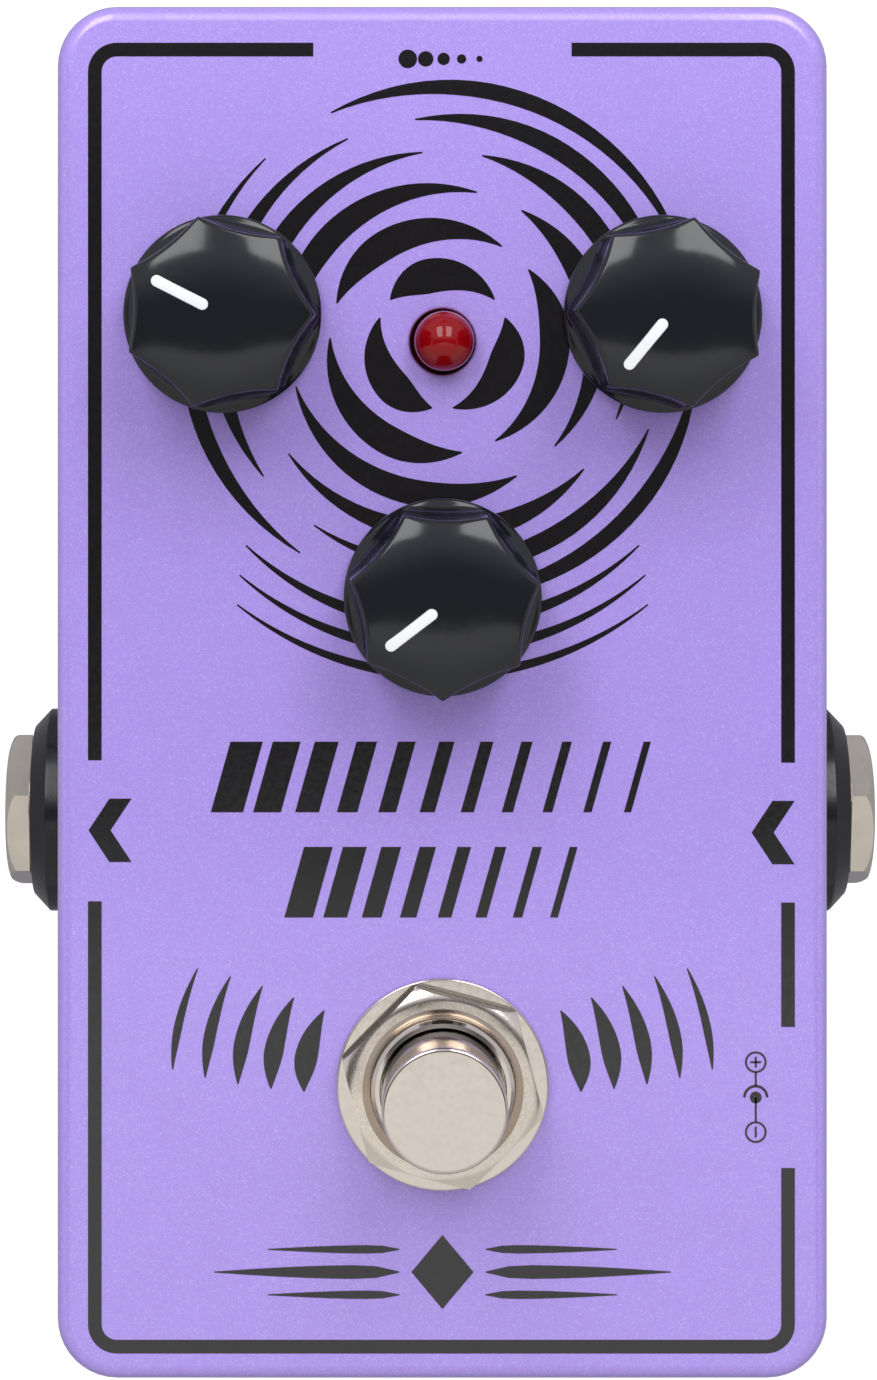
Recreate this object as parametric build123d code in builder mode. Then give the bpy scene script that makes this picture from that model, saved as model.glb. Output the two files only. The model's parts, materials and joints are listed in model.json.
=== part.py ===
from build123d import *
import math
import os

os.makedirs("parts", exist_ok=True)

# Echo pedal in a die-cast box. Millimetres, +Z up, +Y towards the back of the pedal.
# The origin is on the floor, under the middle of the box.

# Box: the width, length and corner are those of the top, and the walls lean out below it
box_width = 64.5
box_length = 115.0
box_height = 33.3
box_corner_r = 5.0
box_edge_r = 1.8
box_wall = 2.0
panel_thickness = 2.2
draft_angle = 1.0

# Base plate, its locating rib, its screws and the feet
base_thickness = 2.0
base_edge_r = 0.7
rib_height = 1.6
rib_thickness = 1.4
rib_clearance = 0.25
boss_r = 4.2
boss_inset = 5.05
screw_r = 1.45
screw_length = 9.5
screw_head_r = 2.9
screw_head_angle = 90.0
screw_recess_width = 0.7
screw_recess_length = 3.2
screw_recess_depth = 0.9
thread_clearance = 0.05
hole_clearance = 0.2
hole_tip_space = 1.5
foot_height = 2.2
foot_r = 5.0
foot_flare = 0.6
foot_edge = 0.4
foot_inset_x = 11.5
foot_inset_y = 13.5

# Places on the panel: the knobs and the light from the back edge, the foot switch from the front edge
upper_knob_spread = 36.7
upper_knob_inset = 25.8
middle_knob_inset = 49.4
led_inset = 28.1
switch_inset = 24.9
left_pointing = 153.0
middle_pointing = 217.6
right_pointing = 230.7

# Potentiometer
can_r = 8.2
can_height = 7.0
can_edge = 0.5
pot_bushing_r = 3.5
pot_bushing_above = 4.6
shaft_r = 3.0
shaft_clearance = 0.05
shaft_depth_in_can = 5.0
shaft_chamfer = 0.5
pot_nut_flats = 10.0
pot_nut_height = 2.0
pot_washer_r = 5.5
pot_washer_thickness = 0.5
terminal_r = 0.45
terminal_spacing = 5.0
terminal_offset = 6.2

# Knob
knob_flutes = 7
knob_base_r = 8.25
knob_gap = 0.8
knob_height = 12.7
knob_skirt = 1.1
knob_low_tip_r = 8.15
knob_low_valley_r = 7.25
knob_top_tip_r = 7.95
knob_top_valley_r = 6.75
knob_tip_round = 0.55
knob_dome_r = 62.0
knob_rim_r = 0.4
knob_recess_r = 6.25
knob_recess_depth = 4.4
knob_roof = 1.8
pointer_length = 5.3
pointer_width = 0.95
pointer_middle_r = 3.8
pointer_depth = 0.6
pointer_clearance = 0.02
set_screw_r = 1.5
set_screw_length = 3.0
set_screw_height = 7.4
set_screw_socket = 1.5
set_screw_socket_depth = 1.2

# Foot switch
switch_body_side = 17.2
switch_body_height = 17.5
switch_body_corner = 0.8
switch_frame_thickness = 0.8
switch_frame_leg = 6.5
switch_frame_leg_width = 9.0
switch_bushing_r = 6.0
switch_bushing_length = 12.0
switch_bushing_floor = 2.0
switch_mouth_chamfer = 0.45
switch_rim_chamfer = 0.25
lock_washer_r = 8.2
lock_washer_ring_r = 7.0
lock_washer_thickness = 0.8
lock_washer_teeth = 12
lock_tooth_width = 0.9
switch_washer_r = 8.85
switch_washer_thickness = 1.0
switch_washer_edge = 0.15
switch_nut_flats = 15.0
switch_nut_height = 2.5
switch_nut_turn = 45.0
plunger_r = 5.1
plunger_above_panel = 14.0
plunger_head_height = 10.5
plunger_edge_r = 0.6
plunger_clearance = 0.05
rod_r = 2.5
rod_clearance = 0.08
rod_length = 10.0
clip_r = 3.3
clip_thickness = 0.8
clip_gap = 0.05
clip_room = 0.3
switch_chamber_depth = 8.0
spring_wall = 1.7
spring_rod_space = 0.35
lug_width = 2.0
lug_thickness = 0.8
lug_spacing_x = 5.0
lug_spacing_y = 4.9
lug_past_board = 1.2

# Quarter-inch jacks, one on each side wall, from the front edge
jack_inset = 45.9
jack_below_panel = 19.0
jack_bore_r = 3.2
jack_bushing_r = 4.5
jack_bushing_in_body = 6.0
jack_body_width = 15.9
jack_body_height = 14.4
jack_body_length = 23.5
jack_body_corner = 0.6
jack_wall_space = 0.1
jack_back_wall = 1.5
jack_cavity_width = 8.6
jack_cavity_height = 10.6
jack_cavity_corner = 1.0
bezel_r = 8.85
bezel_face_r = 7.45
bezel_rim = 1.6
bezel_slope = 1.5
jack_nut_flats = 12.0
jack_nut_height = 2.5
jack_nut_proud = 0.2
left_jack_nut_turn = -15.8
right_jack_nut_turn = 18.0
nut_chamfer_radial = 0.8
nut_chamfer_height = 0.45
contact_thickness = 0.4
contact_width = 3.0
contact_lift = 1.6
contact_foot_run = 2.4
contact_bend_r = 0.5
front_contact_back = 3.0
rear_contact_back = 11.0

# Power socket, flush behind a hole in the right wall, from the front edge
dc_inset = 23.8
dc_axis_above_board = 6.5
dc_hole_r = 4.0
dc_body_width = 9.0
dc_body_height = 11.0
dc_body_length = 14.0
dc_wall_space = 0.2
dc_bore_r = 3.1
dc_bore_depth = 9.0
dc_pin_r = 1.05
dc_pin_recess = 1.0
dc_tail_width = 2.4
dc_tail_thickness = 0.5
dc_spring_length = 5.5

# Indicator light
led_r = 2.5
led_hole_r = 2.8
led_flange_r = 2.9
led_flange_height = 1.0
led_height = 8.6
led_below_panel = 0.8
led_lead_side = 0.5
led_lead_spacing = 2.54

# Boards and what they carry
board_thickness = 1.6
board_corner = 1.5
board_below_cans = 0.4
board_wall_gap = 1.8
main_board_boss_gap = 0.75
main_board_past_can = 1.4
jack_board_boss_gap = 3.2
jack_board_past_link = 1.0
jack_board_clearance = 0.7
pin_clearance = 0.15
pin_past_board = 1.0
chip_thickness = 3.3
chip_width = 6.4
delay_chip_length = 19.6
amplifier_chip_length = 9.6
chip_standoff = 0.5
chip_leg_pitch = 2.54
chip_leg_width = 0.6
chip_leg_thickness = 0.3
chip_row_spacing = 7.62
chip_notch_r = 0.8
capacitor_r = 3.15
capacitor_height = 11.0
capacitor_edge = 0.4
film_length = 7.2
film_width = 2.6
film_height = 6.5
film_edge_r = 0.4
resistor_r = 1.15
resistor_length = 6.3
resistor_waist = 0.25
regulator_r = 2.4
regulator_flat = 1.2
regulator_height = 4.6
link_columns = 4
link_rows = 2
link_pitch = 2.54
link_header_height = 2.5
link_pin_side = 0.64
link_inset = 1.0
part_grid = 0.5

# Levels and places that follow from the sizes above
base_bottom_z = foot_height
base_top_z = base_bottom_z + base_thickness
panel_z = base_top_z + box_height
panel_inner_z = panel_z - panel_thickness
wall_slope = math.tan(math.radians(draft_angle))
box_growth = box_height * wall_slope
bottom_width = box_width + 2 * box_growth
bottom_length = box_length + 2 * box_growth
bottom_corner_r = box_corner_r + box_growth
boss_spacing_x = box_width - 2 * boss_inset
boss_spacing_y = box_length - 2 * boss_inset
foot_spacing_x = box_width - 2 * foot_inset_x
foot_spacing_y = box_length - 2 * foot_inset_y
can_bottom_z = panel_inner_z - can_height
main_board_top_z = can_bottom_z - board_below_cans
main_board_bottom_z = main_board_top_z - board_thickness
jack_axis_z = panel_z - jack_below_panel
jack_body_bottom_z = jack_axis_z - jack_body_height / 2
jack_board_top_z = jack_body_bottom_z - jack_board_clearance
jack_board_bottom_z = jack_board_top_z - board_thickness
pin_bottom_z = jack_board_bottom_z - pin_past_board
dc_axis_z = jack_board_top_z + dc_axis_above_board
frame_top_z = panel_inner_z - lock_washer_thickness
housing_top_z = frame_top_z - switch_frame_thickness
housing_bottom_z = housing_top_z - switch_body_height
plunger_top_z = panel_z + plunger_above_panel
plunger_bottom_z = plunger_top_z - plunger_head_height
plunger_bore_z = frame_top_z + switch_bushing_floor

back_y = box_length / 2
front_y = -box_length / 2
upper_knob_y = back_y - upper_knob_inset
middle_knob_y = back_y - middle_knob_inset
led_y = back_y - led_inset
switch_y = front_y + switch_inset
jack_y = front_y + jack_inset
dc_y = front_y + dc_inset
boss_inner_y = boss_spacing_y / 2 - boss_r
main_board_front_y = middle_knob_y - can_r - main_board_past_can
main_board_back_y = boss_inner_y - main_board_boss_gap
link_y = main_board_front_y + link_inset + link_rows * link_pitch / 2
jack_board_front_y = jack_board_boss_gap - boss_inner_y
jack_board_back_y = link_y + link_rows * link_pitch / 2 + jack_board_past_link
board_width = box_width - 2 * (box_wall + board_wall_gap)

controls = {
    "left": (-upper_knob_spread / 2, upper_knob_y, left_pointing),
    "middle": (0.0, middle_knob_y, middle_pointing),
    "right": (upper_knob_spread / 2, upper_knob_y, right_pointing),
}
control_points = [(x, y) for x, y, pointing in controls.values()]


def outer_wall_x(z):
    """How far the outside of a side wall stands from the middle plane at height z."""
    return box_width / 2 + (panel_z - z) * wall_slope


def inner_wall_x(z):
    """How far the inside of a side wall stands from the middle plane at height z."""
    return outer_wall_x(z) - box_wall


def turned_plane(x, y, z, heading=0.0):
    """A level plane whose own X axis points along the heading, in degrees."""
    angle = math.radians(heading)
    return Plane(origin=(x, y, z), x_dir=(math.cos(angle), math.sin(angle), 0), z_dir=(0, 0, 1))


def side_plane(side, y, z, out=0.0):
    """A plane that faces out through a side wall, with its own Y axis upwards."""
    return Plane(origin=(side * out, y, z), x_dir=(0, side, 0), z_dir=(side, 0, 0))


def chamfered_hex_nut(plane, flats, height, bore_r, turn, both_faces=False):
    """A hexagon nut whose corners are turned down to a cone at its outer face."""
    corner_r = flats / math.sqrt(3)
    with BuildPart() as nut:
        with BuildSketch(plane):
            Circle(corner_r)
        extrude(amount=height)
        ends = nut.edges().sort_by(lambda edge: plane.to_local_coords(edge.center()).Z)
        turned = [ends[0], ends[-1]] if both_faces else [ends[-1]]
        chamfer(turned, length=nut_chamfer_height, length2=nut_chamfer_radial)
        with BuildSketch(plane):
            RegularPolygon(radius=flats / 2, side_count=6, major_radius=False, rotation=turn)
        extrude(amount=height, mode=Mode.INTERSECT)
        with BuildSketch(plane):
            Circle(bore_r)
        extrude(amount=height, mode=Mode.SUBTRACT)
    return nut.part


# Enclosure: a die-cast tray, open below, with drafted walls and a screw boss in each corner
with BuildPart() as enclosure:
    with BuildSketch(Plane.XY.offset(base_top_z)):
        RectangleRounded(bottom_width, bottom_length, bottom_corner_r)
    extrude(amount=box_height, taper=draft_angle)
    fillet(enclosure.faces().sort_by(Axis.Z)[-1].edges(), radius=box_edge_r)
    with BuildSketch(Plane.XY.offset(base_top_z)):
        RectangleRounded(bottom_width - 2 * box_wall, bottom_length - 2 * box_wall, bottom_corner_r - box_wall)
    extrude(amount=box_height - panel_thickness, taper=draft_angle, mode=Mode.SUBTRACT)
    with BuildSketch(Plane.XY.offset(base_top_z)):
        with GridLocations(boss_spacing_x, boss_spacing_y, 2, 2):
            Circle(boss_r)
    extrude(amount=box_height - panel_thickness)
    with BuildSketch(Plane.XY.offset(base_top_z)):
        with GridLocations(boss_spacing_x, boss_spacing_y, 2, 2):
            Circle(screw_r + thread_clearance)
    extrude(amount=screw_length - base_thickness + hole_tip_space, mode=Mode.SUBTRACT)
    with BuildSketch(Plane.XY.offset(panel_inner_z)):
        with Locations(*control_points):
            Circle(pot_bushing_r + hole_clearance)
        with Locations((0, led_y)):
            Circle(led_hole_r)
        with Locations((0, switch_y)):
            Circle(switch_bushing_r + hole_clearance)
    extrude(amount=panel_thickness, mode=Mode.SUBTRACT)
    with BuildSketch(Plane.YZ):
        with Locations((jack_y, jack_axis_z)):
            Circle(jack_bushing_r + hole_clearance)
    extrude(amount=bottom_width, both=True, mode=Mode.SUBTRACT)
    with BuildSketch(Plane.YZ):
        with Locations((dc_y, dc_axis_z)):
            Circle(dc_hole_r)
    extrude(amount=bottom_width, mode=Mode.SUBTRACT)
enclosure.part.label = "enclosure"
export_step(enclosure.part, "parts/enclosure.step")

# Base plate: the cast lid, with a rib that drops inside the walls between the corner bosses
rib_width = 2 * (inner_wall_x(base_top_z) - rib_clearance)
rib_length = bottom_length - 2 * (box_wall + rib_clearance)
rib_corner_r = bottom_corner_r - box_wall - rib_clearance
with BuildPart() as base_plate:
    with BuildSketch(Plane.XY.offset(base_bottom_z)):
        RectangleRounded(bottom_width, bottom_length, bottom_corner_r)
    extrude(amount=base_thickness)
    fillet(base_plate.faces().sort_by(Axis.Z)[0].edges(), radius=base_edge_r)
    with BuildSketch(Plane.XY.offset(base_top_z)):
        RectangleRounded(rib_width, rib_length, rib_corner_r)
        RectangleRounded(
            rib_width - 2 * rib_thickness,
            rib_length - 2 * rib_thickness,
            rib_corner_r - rib_thickness,
            mode=Mode.SUBTRACT,
        )
        with GridLocations(boss_spacing_x, boss_spacing_y, 2, 2):
            Circle(boss_r + rib_clearance, mode=Mode.SUBTRACT)
    extrude(amount=rib_height)
    with Locations(Plane(origin=(0, 0, base_bottom_z), z_dir=(0, 0, -1))):
        with GridLocations(boss_spacing_x, boss_spacing_y, 2, 2):
            CounterSinkHole(
                radius=screw_r + hole_clearance,
                counter_sink_radius=screw_head_r + hole_clearance,
                depth=base_thickness,
                counter_sink_angle=screw_head_angle,
            )
base_plate.part.label = "base_plate"
export_step(base_plate.part, "parts/base_plate.step")

# Base screws: countersunk, with a cross recess, up into the bosses
screw_head_height = screw_head_r - screw_r
with BuildPart() as base_screws:
    with Locations((0, 0, base_bottom_z)):
        with GridLocations(boss_spacing_x, boss_spacing_y, 2, 2):
            Cone(screw_head_r, screw_r, screw_head_height, align=(Align.CENTER, Align.CENTER, Align.MIN))
            Cylinder(screw_r, screw_length, align=(Align.CENTER, Align.CENTER, Align.MIN))
    with BuildSketch(Plane.XY.offset(base_bottom_z)):
        with GridLocations(boss_spacing_x, boss_spacing_y, 2, 2):
            Rectangle(screw_recess_length, screw_recess_width)
            Rectangle(screw_recess_width, screw_recess_length)
    extrude(amount=screw_recess_depth, mode=Mode.SUBTRACT)
base_screws.part.label = "base_screws"
export_step(base_screws.part, "parts/base_screws.step")

# Rubber feet: round bumpers stuck under the base plate
with BuildPart() as rubber_feet:
    with GridLocations(foot_spacing_x, foot_spacing_y, 2, 2):
        Cone(foot_r, foot_r + foot_flare, foot_height, align=(Align.CENTER, Align.CENTER, Align.MIN))
    chamfer(rubber_feet.edges().group_by(Axis.Z)[0], length=foot_edge)
rubber_feet.part.label = "rubber_feet"
export_step(rubber_feet.part, "parts/rubber_feet.step")


# Potentiometers: a round can under the panel, a threaded bushing through it, a washer and a nut
for name, (x, y, pointing) in controls.items():
    with BuildPart() as pot_body:
        with BuildSketch(turned_plane(x, y, can_bottom_z)):
            Circle(can_r)
        extrude(amount=can_height)
        chamfer(pot_body.edges().group_by(Axis.Z)[0], length=can_edge)
        with BuildSketch(turned_plane(x, y, panel_inner_z)):
            Circle(shaft_r + shaft_clearance)
        extrude(amount=-(shaft_depth_in_can + shaft_clearance), mode=Mode.SUBTRACT)
    pot_body.part.label = f"{name}_pot_body"
    export_step(pot_body.part, f"parts/{name}_pot_body.step")

with BuildPart() as pot_bushings:
    with BuildSketch(Plane.XY.offset(panel_inner_z)):
        with Locations(*control_points):
            Circle(pot_bushing_r)
            Circle(shaft_r + shaft_clearance, mode=Mode.SUBTRACT)
    extrude(amount=panel_thickness + pot_bushing_above)
pot_bushings.part.label = "pot_bushings"
export_step(pot_bushings.part, "parts/pot_bushings.step")

with BuildPart() as pot_washers:
    with BuildSketch(Plane.XY.offset(panel_z)):
        with Locations(*control_points):
            Circle(pot_washer_r)
            Circle(pot_bushing_r + hole_clearance, mode=Mode.SUBTRACT)
    extrude(amount=pot_washer_thickness)
pot_washers.part.label = "pot_washers"
export_step(pot_washers.part, "parts/pot_washers.step")

pot_nut_z = panel_z + pot_washer_thickness
with BuildPart() as pot_nuts:
    for x, y in control_points:
        add(
            chamfered_hex_nut(
                turned_plane(x, y, pot_nut_z),
                pot_nut_flats,
                pot_nut_height,
                pot_bushing_r + thread_clearance,
                turn=0.0,
            )
        )
pot_nuts.part.label = "pot_nuts"
export_step(pot_nuts.part, "parts/pot_nuts.step")

# Terminals: three pins below each can, down through the main board
terminal_points = [
    (x + step * terminal_spacing, y + terminal_offset) for x, y in control_points for step in (-1, 0, 1)
]
with BuildPart() as pot_terminals:
    with BuildSketch(Plane.XY.offset(can_bottom_z)):
        with Locations(*terminal_points):
            Circle(terminal_r)
    extrude(amount=-(board_below_cans + board_thickness + pin_past_board))
pot_terminals.part.label = "pot_terminals"
export_step(pot_terminals.part, "parts/pot_terminals.step")


def fluted_outline(tip_r, valley_r):
    """Draws the knob's outline: rounded tips with a shallow scallop from each to the next."""
    half_pitch = math.pi / knob_flutes
    half_chord = tip_r * math.sin(half_pitch)
    sagitta = tip_r * math.cos(half_pitch) - valley_r
    scallop_r = (half_chord**2 + sagitta**2) / (2 * sagitta)
    Circle(tip_r)
    with PolarLocations(valley_r + scallop_r, knob_flutes, start_angle=180 / knob_flutes):
        Circle(scallop_r, mode=Mode.SUBTRACT)


# Knobs: fluted caps with a skirt, a domed top, a hollow over the nut and a pointer let into the top
knob_bottom_z = panel_z + knob_gap
knob_top_z = knob_bottom_z + knob_height
shaft_top_z = knob_top_z - knob_roof
for name, (x, y, pointing) in controls.items():
    with BuildPart() as knob:
        with BuildSketch(turned_plane(x, y, knob_bottom_z, pointing)):
            Circle(knob_base_r)
        extrude(amount=knob_skirt)
        with BuildSketch(turned_plane(x, y, knob_bottom_z + knob_skirt, pointing)) as low_outline:
            fluted_outline(knob_low_tip_r, knob_low_valley_r)
            fillet(low_outline.vertices(), radius=knob_tip_round)
        with BuildSketch(turned_plane(x, y, knob_top_z, pointing)) as top_outline:
            fluted_outline(knob_top_tip_r, knob_top_valley_r)
            fillet(top_outline.vertices(), radius=knob_tip_round)
        loft()
        with Locations((x, y, knob_top_z - knob_dome_r)):
            Sphere(knob_dome_r, mode=Mode.INTERSECT)
        fillet(knob.faces().sort_by(Axis.Z)[-1].edges(), radius=knob_rim_r)
        with BuildSketch(turned_plane(x, y, knob_bottom_z)):
            Circle(knob_recess_r)
        extrude(amount=knob_recess_depth, mode=Mode.SUBTRACT)
        with BuildSketch(turned_plane(x, y, knob_bottom_z)):
            Circle(shaft_r + shaft_clearance)
        extrude(amount=knob_height - knob_roof, mode=Mode.SUBTRACT)
        with BuildSketch(turned_plane(x, y, knob_top_z - pointer_depth, pointing)):
            with Locations((pointer_middle_r, 0)):
                SlotOverall(pointer_length, pointer_width)
        extrude(amount=2 * pointer_depth, mode=Mode.SUBTRACT)
        back = turned_plane(x, y, knob_bottom_z + set_screw_height, pointing + 180)
        with BuildSketch(Plane(origin=back.origin, x_dir=back.y_dir, z_dir=back.x_dir)):
            Circle(set_screw_r + thread_clearance)
        extrude(amount=knob_base_r, mode=Mode.SUBTRACT)
    knob.part.label = f"{name}_knob"
    export_step(knob.part, f"parts/{name}_knob.step")

    with BuildPart() as pointer:
        with BuildSketch(turned_plane(x, y, knob_top_z - pointer_depth, pointing)):
            with Locations((pointer_middle_r, 0)):
                SlotOverall(pointer_length - 2 * pointer_clearance, pointer_width - 2 * pointer_clearance)
        extrude(amount=2 * pointer_depth)
        with Locations((x, y, knob_top_z - knob_dome_r)):
            Sphere(knob_dome_r, mode=Mode.INTERSECT)
    pointer.part.label = f"{name}_pointer"
    export_step(pointer.part, f"parts/{name}_pointer.step")

    with BuildPart() as shaft:
        with BuildSketch(turned_plane(x, y, panel_inner_z - shaft_depth_in_can)):
            Circle(shaft_r)
        extrude(amount=shaft_top_z - panel_inner_z + shaft_depth_in_can)
        chamfer(shaft.edges().group_by(Axis.Z)[-1], length=shaft_chamfer)
    shaft.part.label = f"{name}_shaft"
    export_step(shaft.part, f"parts/{name}_shaft.step")

    with BuildPart() as set_screw:
        seat = Plane(
            origin=back.origin + back.x_dir * (shaft_r + shaft_clearance), x_dir=back.y_dir, z_dir=back.x_dir
        )
        with BuildSketch(seat):
            Circle(set_screw_r)
        extrude(amount=set_screw_length)
        with BuildSketch(seat.offset(set_screw_length - set_screw_socket_depth)):
            RegularPolygon(radius=set_screw_socket / 2, side_count=6, major_radius=False)
        extrude(amount=set_screw_socket_depth, mode=Mode.SUBTRACT)
    set_screw.part.label = f"{name}_set_screw"
    export_step(set_screw.part, f"parts/{name}_set_screw.step")

# Foot switch housing: a square block with a chamber for the end of the plunger's rod
with BuildPart() as switch_housing:
    with BuildSketch(Plane.XY.offset(housing_bottom_z)):
        with Locations((0, switch_y)):
            RectangleRounded(switch_body_side, switch_body_side, switch_body_corner)
    extrude(amount=switch_body_height)
    with BuildSketch(Plane.XY.offset(housing_top_z)):
        with Locations((0, switch_y)):
            Circle(clip_r + clip_room)
    extrude(amount=-switch_chamber_depth, mode=Mode.SUBTRACT)
switch_housing.part.label = "switch_housing"
export_step(switch_housing.part, "parts/switch_housing.step")

# Switch frame: the metal clamp over the housing, with a leg folded down each side
with BuildPart() as switch_frame:
    with BuildSketch(Plane.XY.offset(housing_top_z)):
        with Locations((0, switch_y)):
            RectangleRounded(switch_body_side + 2 * switch_frame_thickness, switch_body_side, switch_body_corner)
            Circle(rod_r + rod_clearance, mode=Mode.SUBTRACT)
    extrude(amount=switch_frame_thickness)
    with BuildSketch(Plane.XY.offset(housing_top_z)):
        with Locations((0, switch_y)):
            with GridLocations(switch_body_side + switch_frame_thickness, 0, 2, 1):
                Rectangle(switch_frame_thickness, switch_frame_leg_width)
    extrude(amount=-switch_frame_leg)
switch_frame.part.label = "switch_frame"
export_step(switch_frame.part, "parts/switch_frame.step")

# Switch bushing: threaded tube on the frame, with a bore for the plunger and a floor for its spring
with BuildPart() as switch_bushing:
    with BuildSketch(Plane.XY.offset(frame_top_z)):
        with Locations((0, switch_y)):
            Circle(switch_bushing_r)
    extrude(amount=switch_bushing_length)
    with BuildSketch(Plane.XY.offset(plunger_bore_z)):
        with Locations((0, switch_y)):
            Circle(plunger_r + plunger_clearance)
    extrude(amount=switch_bushing_length - switch_bushing_floor, mode=Mode.SUBTRACT)
    mouth_edge, rim_edge = switch_bushing.edges().group_by(Axis.Z)[-1].sort_by(SortBy.RADIUS)
    chamfer(rim_edge, length=switch_rim_chamfer)
    chamfer(mouth_edge, length=switch_mouth_chamfer)
    with BuildSketch(Plane.XY.offset(frame_top_z)):
        with Locations((0, switch_y)):
            Circle(rod_r + rod_clearance)
    extrude(amount=switch_bushing_floor, mode=Mode.SUBTRACT)
switch_bushing.part.label = "switch_bushing"
export_step(switch_bushing.part, "parts/switch_bushing.step")

# Lock washer: a ring with inward teeth, squeezed between the frame and the panel
with BuildPart() as switch_lock_washer:
    with BuildSketch(Plane.XY.offset(frame_top_z)):
        with Locations((0, switch_y)):
            Circle(lock_washer_r)
            Circle(lock_washer_ring_r, mode=Mode.SUBTRACT)
            tooth_inner_r = switch_bushing_r + hole_clearance
            tooth_length = lock_washer_ring_r - tooth_inner_r + hole_clearance
            with PolarLocations(tooth_inner_r + tooth_length / 2, lock_washer_teeth):
                Rectangle(tooth_length, lock_tooth_width)
    extrude(amount=lock_washer_thickness)
switch_lock_washer.part.label = "switch_lock_washer"
export_step(switch_lock_washer.part, "parts/switch_lock_washer.step")

# Switch washer and nut: they clamp the switch to the top of the panel
with BuildPart() as switch_washer:
    with BuildSketch(Plane.XY.offset(panel_z)):
        with Locations((0, switch_y)):
            Circle(switch_washer_r)
    extrude(amount=switch_washer_thickness)
    chamfer(switch_washer.edges().group_by(Axis.Z)[-1], length=switch_washer_edge)
    with BuildSketch(Plane.XY.offset(panel_z)):
        with Locations((0, switch_y)):
            Circle(switch_bushing_r + hole_clearance)
    extrude(amount=switch_washer_thickness, mode=Mode.SUBTRACT)
switch_washer.part.label = "switch_washer"
export_step(switch_washer.part, "parts/switch_washer.step")

with BuildPart() as switch_nut:
    add(
        chamfered_hex_nut(
            turned_plane(0, switch_y, panel_z + switch_washer_thickness),
            switch_nut_flats,
            switch_nut_height,
            switch_bushing_r + thread_clearance,
            turn=switch_nut_turn,
        )
    )
switch_nut.part.label = "switch_nut"
export_step(switch_nut.part, "parts/switch_nut.step")

# Plunger: the round head that the foot presses, with its rod, and the clip that stops it below the frame
with BuildPart() as switch_plunger:
    with BuildSketch(Plane.XY.offset(plunger_bottom_z)):
        with Locations((0, switch_y)):
            Circle(plunger_r)
    extrude(amount=plunger_head_height)
    fillet(switch_plunger.edges().group_by(Axis.Z)[-1], radius=plunger_edge_r)
    with BuildSketch(Plane.XY.offset(plunger_bottom_z)):
        with Locations((0, switch_y)):
            Circle(rod_r)
    extrude(amount=-rod_length)
switch_plunger.part.label = "switch_plunger"
export_step(switch_plunger.part, "parts/switch_plunger.step")

with BuildPart() as switch_clip:
    with BuildSketch(Plane.XY.offset(housing_top_z - clip_gap)):
        with Locations((0, switch_y)):
            Circle(clip_r)
            Circle(rod_r, mode=Mode.SUBTRACT)
    extrude(amount=-clip_thickness)
switch_clip.part.label = "switch_clip"
export_step(switch_clip.part, "parts/switch_clip.step")

# Return spring, as the sleeve that its turns fill between the bushing's floor and the plunger
with BuildPart() as switch_spring:
    with BuildSketch(Plane.XY.offset(plunger_bore_z)):
        with Locations((0, switch_y)):
            Circle(rod_r + spring_rod_space + spring_wall)
            Circle(rod_r + spring_rod_space, mode=Mode.SUBTRACT)
    extrude(amount=plunger_bottom_z - plunger_bore_z)
switch_spring.part.label = "switch_spring"
export_step(switch_spring.part, "parts/switch_spring.step")

# Lugs: nine flat terminals from the housing down through the jack board
with BuildPart() as switch_lugs:
    with BuildSketch(Plane.XY.offset(jack_board_bottom_z - lug_past_board)):
        with Locations((0, switch_y)):
            with GridLocations(lug_spacing_x, lug_spacing_y, 3, 3):
                Rectangle(lug_width, lug_thickness)
    extrude(amount=housing_bottom_z - jack_board_bottom_z + lug_past_board)
switch_lugs.part.label = "switch_lugs"
export_step(switch_lugs.part, "parts/switch_lugs.step")

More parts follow.
